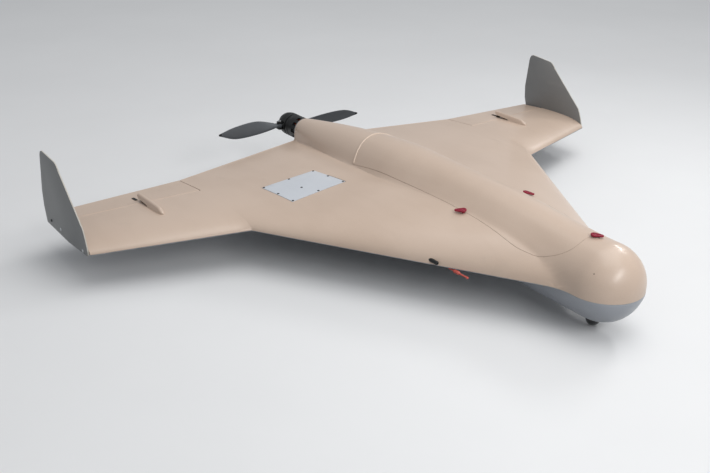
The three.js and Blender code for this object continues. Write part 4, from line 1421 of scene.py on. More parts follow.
        faces = []
        for i in range(len(rows) - 1):
            span = min((len(plans[i]) - 1) // 2, (len(plans[i + 1]) - 1) // 2)
            for c in range(-span, span):
                faces.append((top(i, c), top(i, c + 1), top(i + 1, c + 1), top(i + 1, c)))
                faces.append((low(i + 1, c), low(i + 1, c + 1), low(i, c + 1), low(i, c)))
        wings = [i for i, row in enumerate(rows) if row[2]]
        first, last = wings[0], wings[-1]
        middle = d.hump + d.edge
        outer = middle + d.panel
        port = [(i, middle) for i in range(1, first + 1)]
        port += [(first, c) for c in range(middle + 1, outer + 1)]
        port += [(i, outer) for i in range(first + 1, last + 1)]
        port += [(last, c) for c in range(outer - 1, middle - 1, -1)]
        port += [(i, middle) for i in range(last + 1, len(rows))]
        rim = [(0, c) for c in range(-middle, middle + 1)] + port
        rim += [(len(rows) - 1, c) for c in range(middle - 1, -middle, -1)]
        rim += [(i, -c) for i, c in reversed(port)]
        for a, b in zip(rim, rim[1:] + rim[:1]):
            faces.append((low(*a), low(*b), top(*b), top(*a)))
        return Forge.mesh(name, np.vstack(points), faces)

    def normal(self, x: float, y: float, step: float = 4) -> Vector:
        """Upward normal of the upper surface.

        Args:
            x: place across the body.
            y: place along the body.
            step: distance over which the slope is taken.

        Returns:
            The normal.
        """
        dx = float(self.upper_z(x + step, y) - self.upper_z(x - step, y)) / (2 * step)
        dy = float(self.upper_z(x, y + step) - self.upper_z(x, y - step)) / (2 * step)
        return Vector((-dx, -dy, 1)).normalized()

    def under_parting(self, name: str, shift: float) -> Piece:
        """Block from far below up to the parting line, moved by a shift.

        Args:
            name: object name.
            shift: how far its top is moved.

        Returns:
            The solid.
        """
        outer = [lerp(self.kink_x, self.half_span, i / 4) for i in range(5)]
        columns = [-FAR, *(-x for x in reversed(outer)), *outer, FAR]
        rings = []
        for y in (-FAR, self.kink_lead_y, self.kink_trail_y, self.tail_y, FAR):
            tops = [(x, y, float(self.parting_z(min(abs(x), self.half_span), y)) + shift) for x in columns]
            rings.append([*tops, (FAR, y, -FAR), (-FAR, y, -FAR)])
        return Forge.loft(name, rings)


# Hinge line of the elevons


@dataclass(frozen=True)
class HingeLine:
    """Line about which an elevon turns, with the wing's half thickness along it."""

    form: BodyForm
    in_y: float = -89
    out_y: float = -50
    elevon_in_x: float = 345
    side_gap: float = 1.5

    def ends(self) -> np.ndarray:
        """(y, z, radius) at the kink and at the tip.

        Returns:
            One row for each end.
        """
        rows = []
        for x, y in ((self.form.kink_x, self.in_y), (self.form.half_span, self.out_y)):
            high, low = float(self.form.upper_z(x, y)), float(self.form.lower_z(x, y))
            rows.append((y, (high + low) / 2, (high - low) / 2))
        return np.array(rows)

    def share(self, side: float) -> np.ndarray:
        """(y, z, radius) at a distance from the centre plane."""
        start, end = self.ends()
        return remap(side, self.form.kink_x, self.form.half_span, start, end)

    def at(self, sign: int, side: float) -> Vector:
        """Point of the line on one side."""
        y, z, _ = self.share(side)
        return Vector((sign * side, y, z))

    def zone(self, name: str, sign: int, grow: float, side_grow: float) -> Piece:
        """Everything behind the line and the rounded nose about it.

        Args:
            name: object name.
            sign: -1 for starboard, 1 for port.
            grow: clearance about the nose.
            side_grow: clearance at the ends.

        Returns:
            The solid.
        """
        inner, outer = self.elevon_in_x - side_grow, self.form.half_span + side_grow + 1
        start, end = self.at(sign, inner), self.at(sign, outer)
        outline = [(start.x, start.y), (end.x, end.y), (end.x, FAR), (start.x, FAR)]
        whole = Forge.prism(name, outline, -FAR, FAR)
        root, tip = inner - 20, outer + 20
        radii = [float(self.share(x)[2]) + grow for x in (root, tip)]
        nose = Forge.bar("nose", self.at(sign, root), self.at(sign, tip), *radii, sides=72)
        Forge.carve(whole, Cut.JOIN, nose)
        return Forge.carve(whole, Cut.KEEP, Forge.slab("reach", start.x, end.x))


# Sub-assemblies


@dataclass
class Assembly:
    """A sub-assembly that shares the body's form and the finishes."""

    form: BodyForm
    finishes: Finishes

    def fit(
        self, piece: Piece, look: Look, body: str = "airframe", stands_for: Sequence[str] = ()
    ) -> Piece:
        """Finishes a piece and puts it on its body.

        Args:
            piece: the piece, in place.
            look: its finish.
            body: the body it moves with.
            stands_for: CAD nodes that it replaces.

        Returns:
            The piece.
        """
        if not any(piece.data.materials):
            piece.data.materials.clear()
            piece.data.materials.append(self.finishes.get(look))
        piece.data.shade_smooth()
        piece.data.set_sharp_from_angle(angle=SHARP_ANGLE)
        look.slot
        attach(piece, body)
        if stands_for:
            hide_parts(*stands_for)
        log.info("%s: %d faces", piece.name, len(piece.data.polygons))
        return piece

    def two_looks(self, piece: Piece, look: Look, other: Look, where: Iterable[bool]) -> None:
        """Gives a piece two finishes.

        Args:
            piece: the piece.
            look: the finish of most faces.
            other: the finish of the chosen faces.
            where: for each face, whether it is chosen.
        """
        piece.data.materials.clear()
        for each in (look, other):
            piece.data.materials.append(self.finishes.get(each))
        piece.data.polygons.foreach_set("material_index", np.array(where, np.int32))

    def on_surface(self, x: float, y: float, lift: float = 0.0) -> Matrix:
        """Stand on the upper surface, with Z along its normal.

        Args:
            x: place across.
            y: place along.
            lift: distance above the surface.

        Returns:
            The stand's matrix.
        """
        normal = self.form.normal(x, y)
        point = Vector((x, y, float(self.form.upper_z(x, y)))) + normal * lift
        turn = Vector((0, 0, 1)).rotation_difference(normal).to_matrix().to_4x4()
        return Matrix.Translation(point) @ turn

    def screw(self, name: str, place: Matrix, radius: float, height: float = 0.6) -> Piece:
        """Countersunk screw head with a cross recess, its top along Z.

        Args:
            name: object name.
            place: where the head's seat is.
            radius: head radius.
            height: how proud it stands.

        Returns:
            The head.
        """
        upright = place @ Matrix.Rotation(math.pi / 2, 4, "X")
        seat = [(0, -0.8), (radius * 0.7, -0.8), (radius, 0)]
        crown = [(radius * 0.94, height * 0.6), (radius * 0.6, height), (0, height)]
        head = Forge.lathe(name, seat + crown, 20, upright)
        arm, half, floor = radius * 0.62, radius * 0.14, height * 0.2
        slots = [
            Forge.block("slot", (-x, -y, floor), (x, y, 2), place) for x, y in ((arm, half), (half, arm))
        ]
        return Forge.carve(head, Cut.AWAY, *slots)


@dataclass
class Skins(Assembly):
    """Upper and lower skins, hatch cover, access panel and elevons."""

    skin: float = 2.5
    gap: float = 0.3
    seam: float = 0.6
    cove: float = 0.5
    hatch_rear: Pair = (-178, 19)
    hatch_corner: Pair = (79, -655.8)
    hatch_sides: tuple[Pair, ...] = (
        (75.4, -657),
        (77.2, -641),
        (76.9, -624),
        (75.4, -600),
        (73, -560),
        (71.2, -515),
        (69.3, -455),
        (68, -380),
        (67.6, -290),
        (67, -206),
    )
    hatch_shoulder: Pair = (43, -743.3)
    hatch_brow_x: float = 50.7
    hatch_front_y: float = -736.2
    lug: Pair = (-740.5, 8)
    lip_r: float = 1.6
    frame: Pair = (7, 2.5)
    floor_z: float = 18
    panel_size: Pair = (121.5, 96)
    panel_rise: float = 0.5
    wide_gap: float = 2.4
    groove_size: Triple = (1.0, 5.2, 1.1)
    slot_half: Pair = (3, 10)
    servo: Pair = (449.867, -134)
    dome_bore: float = 12.3
    pin_bore: float = 2.0
    probe_bore: float = 3.6
    inner_detail: Detail = Detail(20, 36, 18, 16, 15, 15, 5)

    def hatch_block(self, name: str, offset: float) -> Piece:
        """Upright prism over the hatch outline, grown by an offset.

        Args:
            name: object name.
            offset: growth.

        Returns:
            The solid.
        """
        half = [(0.0, self.hatch_front_y - offset)]
        half += bezier(
            half[0],
            (self.hatch_brow_x + offset, self.hatch_front_y - offset),
            (self.hatch_shoulder[0] + offset, self.hatch_shoulder[1]),
            (self.hatch_corner[0] + offset, self.hatch_corner[1]),
            40,
        )[:36]
        side = [half[-1], *((x + offset, y) for x, y in self.hatch_sides)]
        half += [tuple(p) for p in catmull(side, 60)[1:]]
        half += [(x, y + offset) for x, y in reversed(self.rear_edge(self.hatch_sides[-1][0] + offset - 0.5))]
        outline = half + [(-x, y) for x, y in reversed(half[1:-1])]
        whole = Forge.prism(name, outline, self.floor_z, FAR)
        lug_y, lug_r = self.lug
        lug = Forge.prism("lug", arc(0, lug_y, lug_r + offset, 0, 2 * math.pi, 48)[:-1], self.floor_z, FAR)
        return Forge.carve(whole, Cut.JOIN, lug)

    def rear_edge(self, width: float, steps: int = 16) -> list[Pair]:
        """Hatch's bowed rear edge, from the centre outwards.

        Args:
            width: how far out it goes.
            steps: number of steps.

        Returns:
            (x, y) points.
        """
        middle, bow = self.hatch_rear
        full = self.hatch_sides[-1][0]
        return [(x, middle - bow * (x / full) ** 2) for x in np.linspace(0, width, steps + 1)]

    def panel_block(self, name: str, offset: float) -> Piece:
        """Upright block over the access panel, grown by an offset."""
        half_x, half_y = (size / 2 + offset for size in self.panel_size)
        return Forge.block(name, (-half_x, -half_y, 0), (half_x, half_y, FAR), self.panel_stand())

    def panel_stand(self) -> Matrix:
        """Stand of the access panel in plan."""
        return Matrix.Translation((PANEL_X, PANEL_Y, 0)) @ Matrix.Rotation(PANEL_TURN, 4, "Z")

    def groove(self, sign: int) -> Piece:
        """Shallow groove in the upper skin just ahead of an elevon.

        Args:
            sign: -1 for starboard, 1 for port.

        Returns:
            The solid to cut away.
        """
        hinges = HingeLine(self.form)
        near, far, deep = self.groove_size
        rings = []
        for side in np.linspace(hinges.elevon_in_x - hinges.side_gap, self.form.half_span + 1, 14):
            x, y = sign * side, float(hinges.share(side)[0])
            z = float(self.form.upper_z(x, y - far))
            corners = ((far, 5), (far, -deep), (near, -deep), (near, 5))
            rings.append([(x, y - back, z + up) for back, up in corners])
        return Forge.loft("groove", rings)

    @staticmethod
    def mark(piece: Piece, index: int) -> Piece:
        """Gives a solid two empty slots and all its faces one of them.

        Args:
            piece: the solid.
            index: 0 for the painted outside, 1 for the bare inside.

        Returns:
            The solid.
        """
        piece.data.materials.clear()
        piece.data.materials.append(None)
        piece.data.materials.append(None)
        piece.data.polygons.foreach_set("material_index", np.full(len(piece.data.polygons), index, np.int32))
        return piece

    def two_sided(self, piece: Piece, outside: Look) -> Piece:
        """Gives a skin its paint outside and bare laminate inside.

        Args:
            piece: the skin.
            outside: the outer finish.

        Returns:
            The skin.
        """
        for i, look in enumerate((outside, Look.CARBON)):
            piece.data.materials[i] = self.finishes.get(look)
        return piece

    def build(self) -> None:
        """Makes the skins from the closed body and its hollow."""
        hinges = HingeLine(self.form)
        body = self.mark(self.form.hull("body", 0, Detail()), 0)
        hollow = self.mark(self.form.hull("hollow", self.skin, self.inner_detail), 1)
        shell = Forge.copy(body, "shell")
        cavity = Forge.copy(hollow, "cavity")
        for sign, _ in SIDES:
            Forge.carve(cavity, Cut.AWAY, hinges.zone("web", sign, 3 * self.skin, 4 * self.skin))
        Forge.carve(shell, Cut.AWAY, cavity)
        for sign, label in SIDES:
            Forge.carve(shell, Cut.AWAY, hinges.zone("bay", sign, self.cove, hinges.side_gap))
            self.elevon(body, hinges, sign, label)
        above = Forge.copy(shell, "above")
        Forge.carve(above, Cut.AWAY, self.form.under_parting("under", self.gap / 2))
        self.upper(above)
        self.hatch(above)
        panel = Forge.carve(Forge.copy(above, "wing_access_panel"), Cut.KEEP, self.panel_block("panel", 0))
        panel.data.transform(Matrix.Translation((0, 0, self.panel_rise * MM)))
        Forge.bevel(panel, 0.7, 2)
        self.fit(self.two_sided(panel, Look.PANEL), Look.PANEL, stands_for=["access_panel"])
        lower = Forge.carve(shell, Cut.KEEP, self.form.under_parting("under", -self.gap / 2))
        lower.name = "lower_shell"
        dome = Forge.bar("dome", (0, DOME_Y, -FAR), (0, DOME_Y, 0), self.dome_bore, sides=64)
        pin = Forge.bar("pin", (PIN_X, -575, 0), (PIN_X, -640, 0), self.pin_bore)
        Forge.carve(lower, Cut.AWAY, dome, pin)
        self.fit(self.two_sided(lower, Look.PALE_BLUE), Look.PALE_BLUE, stands_for=["lower_skin"])
        Forge.drop(above, hollow, body)

    def elevon(self, body: Piece, hinges: HingeLine, sign: int, label: str) -> None:
        """One elevon, cut from the body behind its hinge line.

        Args:
            body: the closed body.
            hinges: the hinge line.
            sign: -1 for starboard, 1 for port.
            label: the side's name.
        """
        piece = Forge.copy(body, f"elevon_surface_{label}")
        Forge.carve(piece, Cut.KEEP, hinges.zone("zone", sign, 0, 0))
        outer = self.form.half_span - hinges.side_gap
        Forge.carve(piece, Cut.KEEP, Forge.slab("reach", sign * hinges.elevon_in_x, sign * outer))
        centres = np.array([f.center for f in piece.data.polygons]) / MM - np.array(AIRFRAME_SHIFT)
        under = centres[:, 2] < self.form.parting_z(np.abs(centres[:, 0]), centres[:, 1])
        self.two_looks(piece, Look.SAND, Look.PALE_BLUE, under)
        self.fit(piece, Look.SAND, f"elevon_{label}", [f"elevon_{label}"])

    def upper(self, above: Piece) -> None:
        """Upper skin with its openings, a groove ahead of each elevon and the panel's one wider gap.

        Args:
            above: the shell above the parting line.
        """
        skin = Forge.copy(above, "upper_shell")
        tools = [self.hatch_block("hatch", self.seam), self.panel_block("panel", self.seam)]
        half_x, half_y = self.slot_half
        for sign, _ in SIDES:
            x, y = sign * self.servo[0], self.servo[1]
            tools.append(Forge.block("slot", (x - half_x, y - half_y, 0), (x + half_x, y + half_y, FAR)))
        tools.append(Forge.bar("probe", (PROBE_X, -539, PROBE_Z), (PROBE_X, -571, PROBE_Z), self.probe_bore))
        tools += [self.groove(sign) for sign, _ in SIDES]
        half_x, half_y = (size / 2 for size in self.panel_size)
        low, high = (half_x - 1, -half_y, 0), (half_x + self.wide_gap, 4, FAR)
        tools.append(Forge.block("gap", low, high, self.panel_stand()))
        Forge.carve(skin, Cut.AWAY, *tools)
        self.fit(self.two_sided(skin, Look.SAND), Look.SAND, stands_for=["upper_skin"])

    def hatch(self, above: Piece) -> None:
        """Hatch cover, its bead along the rear edge and the frame that it sits on.

        Args:
            above: the shell above the parting line.
        """
        cover = Forge.carve(Forge.copy(above, "hatch_shell"), Cut.KEEP, self.hatch_block("hatch", 0))
        self.fit(self.two_sided(cover, Look.SAND), Look.SAND, "hatch", ["hatch_cover"])
        half = self.rear_edge(self.hatch_sides[-1][0] - 1.5, 40)
        path = [(-x, y) for x, y in reversed(half)] + half[1:]
        rings = []
        for i, (x, y) in enumerate(path):
            before, after = path[max(i - 1, 0)], path[min(i + 1, len(path) - 1)]
            run = Vector((after[0] - before[0], after[1] - before[1], 0)).normalized()
            across, up = Vector((-run.y, run.x, 0)), self.form.normal(x, y)
            size = self.lip_r * (0.6 if i in (0, len(path) - 1) else 1.0)
            seat = Vector((x, y - self.lip_r, float(self.form.upper_z(x, y - self.lip_r)))) - up * 0.2
            angles = np.linspace(0, 2 * math.pi, 13)[:-1]
            wide, tall = across * size, up * size
            rings.append([tuple(seat + wide * math.cos(a) + tall * math.sin(a)) for a in angles])
        # The bead takes a paler copy of the sand paint: a painted highlight along the hatch's rear edge.
        self.fit(Forge.loft("hatch_bead", rings), Look.BEAD_PAINTED_HIGHLIGHT, "hatch")
        grow, thick = self.frame
        coarse = Detail(12, 26, 12, 10, 14, 8, 2)
        frame = self.form.hull("hatch_rebate", self.skin + self.gap, coarse)
        under = self.form.hull("under", self.skin + self.gap + thick, coarse)
        Forge.carve(frame, Cut.KEEP, self.hatch_block("outer", grow))
        Forge.carve(frame, Cut.AWAY, self.hatch_block("inner", -grow), under)
        self.fit(frame, Look.CARBON, stands_for=["hatch_frame"])


@dataclass
class SkinFittings(Assembly):
    """Latches, panel screws, static port, pitot probe and pull pin."""

    head_r: float = 6
    tail_r: float = 3
    reach: float = 12
    thick: float = 3.4
    stem_r: float = 2.4
    stem: float = 9
    places: tuple = (
        ("front", 0.0, -740.5, -55, 1.8),
        ("starboard", -74.5, -520.0, 130, 3.1),
        ("port", 74.5, -520.0, -60, 1.8),
    )
    panel_half: Pair = (57.8, 45.2)
    middle: Pair = (-0.185, -0.19)
    panel_screw_r: float = 2.3
    port: Triple = (-51.41, -790.13, 47.88)
    port_profile: tuple[Pair, ...] = (
        (0, -0.6), (0.5, -0.6), (0.5, 0.15), (0.9, 0.15), (1.05, 0.0), (1.05, -1.2), (0, -1.2),
    )
    probe_profile: tuple[Pair, ...] = (
        (0, 0), (3.3, 0), (3.3, -28.2), (2.9, -29.4), (2.0, -30), (1.3, -29.6), (1.3, -22), (0, -22),
    )
    pin_profile: tuple[Pair, ...] = (
        (0, 0), (1.6, 0), (1.6, -11), (2.6, -12), (3, -13), (3, -16), (2.7, -16.5), (2.7, -18), (3, -18.5),
        (3, -23), (2.4, -25), (1.5, -26), (1.5, -42), (2, -42.8), (2, -45.2), (1.4, -46), (0, -46),
    )

    def build(self) -> None:
        """Makes every fitting on the skins."""
        for name, x, y, turn, lift in self.places:
            self.latch(name, self.on_surface(x, y, lift) @ Matrix.Rotation(math.radians(turn), 4, "Z"))
        self.panel_screws()
        self.edge_fittings()

    def latch(self, name: str, stand: Matrix) -> None:
        """One quarter-turn latch: a teardrop tab with a raised grip over its stem.

        Args:
            name: the latch's place.
            stand: its stand on the skin.
        """
        lean = math.acos((self.head_r - self.tail_r) / self.reach)
        outline = arc(0, 0, self.head_r, lean, 2 * math.pi - lean, 28)
        outline += arc(self.reach, 0, self.tail_r, -lean, lean, 12)
        tab = Forge.bevel(Forge.prism(f"quarter_turn_{name}", outline, 0, self.thick, stand), 1.1, 4)
        stem = Forge.bar("stem", (0, 0, -self.stem), (0, 0, self.thick / 2), self.stem_r, place=stand)
        grip = [*arc(0, 0, 3.4, math.radians(40), math.radians(320), 20), *arc(9, 0, 1.2, -1.2, 1.2, 8)]
        hollow = Forge.bevel(Forge.prism("grip", grip, self.thick - 0.7, self.thick + 2, stand), 0.3, 2)
        Forge.carve(tab, Cut.AWAY, hollow)
        Forge.carve(tab, Cut.JOIN, stem)
        self.fit(tab, Look.CRIMSON, f"latch_{name}", [f"latch_{name}"])
        seat = stand @ Matrix.Translation((0, 0, self.thick - 0.7))
        self.fit(self.screw(f"latch_boss_{name}", seat, 2.2, 0.4), Look.CRIMSON, f"latch_{name}")

    def panel_screws(self) -> None:
        """Nine small screws: corners, middles of the sides and centre."""
        half_x, half_y = self.panel_half
        spin = Matrix.Rotation(PANEL_TURN, 3, "Z")
        heads = []
        for u, v in ((-1, -1), (0, -1), (1, -1), (-1, 0), self.middle, (1, 0), (-1, 1), (0, 1), (1, 1)):
            spot = spin @ Vector((u * half_x, v * half_y, 0))
            stand = self.on_surface(PANEL_X + spot.x, PANEL_Y + spot.y, 0.5)
            heads.append(self.screw("head", stand, self.panel_screw_r, 0.7))
        self.fit(Forge.merge("panel_screws", heads), Look.BLACK)

    def edge_fittings(self) -> None:
        """Static port on the nose, pitot probe and power pull pin on the starboard edge."""
        port = Vector(self.port)
        out = (port - Vector((0, self.form.nose_y, self.form.nose_z))).normalized()
        turn = Vector((0, 1, 0)).rotation_difference(out).to_matrix().to_4x4()
        vent = Forge.lathe("static_port", self.port_profile, 24, Matrix.Translation(port) @ turn)
        self.fit(vent, Look.BLACK)
        stand = Matrix.Translation((PROBE_X, -540, PROBE_Z))
        probe = Forge.lathe("pitot_tube", self.probe_profile, 32, stand)
        self.fit(probe, Look.BLACK, stands_for=["pitot_probe"])
        pin = Forge.lathe("pull_pin_rod", self.pin_profile, 28, Matrix.Translation((PIN_X, -576, 0)))
        self.fit(pin, Look.RED, "pull_pin", ["power_pull_pin"])


@dataclass
class TipFins(Assembly):
    """Upright fins with rounded edges, bolted to the wing tips."""

    thick: float = 2.5
    gap: float = 0.3
    height: float = 127
    foot: Pair = (-182, -12)
    screws: tuple = ((-27.0, 0.0, False), (-68.0, -2.0, True), (-161.0, -8.0, True))

    def outline(self) -> list[Pair]:
        """Fin outline in Y and Z.

        Returns:
            The corners and bends, in order.
        """
        h, (foot_y, foot_z) = self.height, self.foot
        points = [(-6, foot_z + 2), (3, 20), (5, 48), (-2, h - 14)]
        points += self.bend(points[-1], (-4, h), (-15, h))
        points += [(-66, h - 4)]
        points += self.bend(points[-1], (-76, h - 5), (-84, h - 17))
        points += [(-166, 35)]
        points += self.bend(points[-1], (-174, 24), (foot_y, -4))
        points += self.bend(points[-1], (foot_y - 1, foot_z), (foot_y + 8, foot_z))
        return [*points, (-100, foot_z - 3)]

    @staticmethod
    def bend(start: Pair, corner: Pair, end: Pair) -> list[Pair]:
        """Rounded corner of the outline.

        Args:
            start: where it starts.
            corner: the sharp corner that it rounds.
            end: where it ends.

        Returns:
            The points after the start.
        """
        low, mid, high = (np.array(p, float) for p in (start, corner, end))
        return bezier(low, lerp(low, mid, 2 / 3), lerp(high, mid, 2 / 3), high, 10)

    def build(self) -> None:
        """Both fins with their screws."""
        for sign, label in SIDES:
            inner = self.form.half_span + self.gap
            ends = sorted((sign * inner, sign * (inner + self.thick)))
            fin = Forge.side_prism(f"fin_{label}", self.outline(), *ends)
            Forge.bevel(fin, 0.5, 2, 60)
            # The rim faces take a paler copy of the grey: a painted highlight along the fins' edges.
            rim = [abs(face.normal.x) < 0.8 for face in fin.data.polygons]
            self.two_looks(fin, Look.GREY, Look.FIN_EDGE_PAINTED_HIGHLIGHT, rim)
            self.fit(fin, Look.GREY, stands_for=[f"tip_fin_{label}"])
            face = sign * (inner + self.thick)
            for bright, name, look in ((False, "dark", Look.ANODISED), (True, "bright", Look.STEEL)):
                heads = []
                for y, z, shiny in self.screws:
                    if shiny == bright:
                        stand = Matrix.Translation((face, y, z)) @ Matrix.Rotation(sign * math.pi / 2, 4, "Y")
                        heads.append(self.screw("head", stand, 3.0, 1.0))
                self.fit(Forge.merge(f"fin_screws_{name}_{label}", heads), look)


@dataclass
class Linkages(Assembly):
    """Teardrop fairings over the elevon linkages."""

    x: float = 451.08
    front_y: float = -153
    rear_y: float = -58
    width: float = 16
    rises: Pair = (8.5, 14)
    wall: float = 1.4
    limit: float = 27
    window: Pair = (-102, -72)
    spine: float = 4.2
    foot_x: Pair = (454.0, 458.5)
    foot_y: Pair = (-56, -40)
    foot_rise: float = 1.2

    def bulb(self, name: str, x: float, wall: float) -> Piece:
        """Half teardrop, drawn in by a wall.

        Args:
            name: object name.
            x: its centre line.
            wall: how far it is drawn in.

        Returns:
            The solid.
        """
        length = self.rear_y - self.front_y
        rings = []
        for i in range(25):
            run = (length - wall + 2) * (1 - math.cos(i / 24 * math.pi / 2))
            y = self.front_y + wall + run
            bluff = math.sqrt(min(0.02 + run / 14, 1))
            share = run / length
            rise = max(lerp(*self.rises, share) * bluff - wall, 0.4)
            half = self.width / 2 * lerp(0.75, 1, share) * bluff - wall * bluff
            base = float(self.form.upper_z(x, y))
            ring = [(x + half, y, base - 8)]
            ring += [(px, y, pz) for px, pz in self.crest(x, base, half, rise)]
            rings.append([*ring, (x - half, y, base - 8)])
        return Forge.loft(name, rings)

    def crest(self, x: float, base: float, half: float, rise: float) -> list[Pair]:
        """Section over the skin from port to starboard: a round spine on sloping sides.

        Args:
            x: its middle.
            base: height of the skin there.
            half: half its width.
            rise: its height.

        Returns:
            (x, z) points.
        """
        spine = min(self.spine, half, rise) * 0.98
        angles = np.linspace(0.3, math.pi - 0.3, 21)
        top = [(spine * math.cos(a), rise - spine + spine * math.sin(a)) for a in angles]
        slope = [(lerp(half, top[0][0], t), top[0][1] * t) for t in (0, 0.25, 0.5, 0.75)]
        return [(x + px, base + pz) for px, pz in [*slope, *top, *((-px, pz) for px, pz in reversed(slope))]]

    def build(self) -> None:
        """Both fairings, each trimmed to the skin and to the elevon's swing."""
        hinges = HingeLine(self.form)
        body = self.form.hull("trim", 0, Detail(6, 12, 24, 8, 8, 10, 14))
        for sign, label in SIDES:
            x = sign * self.x
            hinge = hinges.at(sign, self.x - 1.2)
            skin_z = float(self.form.upper_z(x, hinge.y))
            run = 3 * self.width
            wedge = [
                (hinge.y - 3, skin_z - 20),
                (hinge.y + run, skin_z - 20),
                (hinge.y + run, skin_z + run * math.tan(math.radians(self.limit))),
                (hinge.y - 3, skin_z),
            ]
            piece = self.bulb(f"teardrop_{label}", x, 0)
            end = Forge.block("end", (x - 20, self.rear_y, -FAR), (x + 20, self.rear_y + 40, FAR))
            start, stop = self.window
            low, high = (float(self.form.upper_z(x, y)) for y in self.window)
            sill = [(start, low - 4), (start, low + 2.5), (stop, high + 5.5)]
            sill += [(stop + 30, high + 6.5), (stop + 30, high - 4)]
            window = Forge.side_prism("window", sill, x - 20, x - 2)
            swing = Forge.side_prism("wedge", wedge, x - 20, x + 20)
            skin = Forge.copy(body, "skin", (0, 0, 0.1))
            Forge.carve(piece, Cut.AWAY, window, self.bulb("inner", x, self.wall), end, swing, skin)
            self.keep_largest(piece)
            self.fit(piece, Look.SAND, stands_for=[f"linkage_fairing_{label}"])
            self.foot(sign, label)
        Forge.drop(body)

    def foot(self, sign: int, label: str) -> None:
        """Dark foot of the control horn on the elevon, just behind the fairing.

        Args:
            sign: -1 for starboard, 1 for port.
            label: the side's name.
        """
        rings = []
        for y in np.linspace(*self.foot_y, 5):
            skin = [(sign * x, y, float(self.form.upper_z(x, y))) for x in self.foot_x]
            low = [(x, y, z - 0.6) for x, y, z in skin]
            high = [(x, y, z + self.foot_rise) for x, y, z in reversed(skin)]
            rings.append([*low, *high])
        self.fit(Forge.loft(f"horn_foot_{label}", rings), Look.BLACK, f"elevon_{label}")

    @staticmethod
    def keep_largest(piece: Piece) -> None:
        """Drops the loose chips that the trimming leaves.

        Args:
            piece: the piece, changed in place.
        """
        form = bmesh.new()
        form.from_mesh(piece.data)
        left, best = set(form.verts), []
        while left:
            island, edge = [], [left.pop()]
            while edge:
                vert = edge.pop()
                island.append(vert)
                for link in vert.link_edges:
                    other = link.other_vert(vert)
                    if other in left:
                        left.remove(other)
                        edge.append(other)
            if len(island) > len(best):
                island, best = best, island
            bmesh.ops.delete(form, geom=island, context="VERTS")
        form.to_mesh(piece.data)
        form.free()


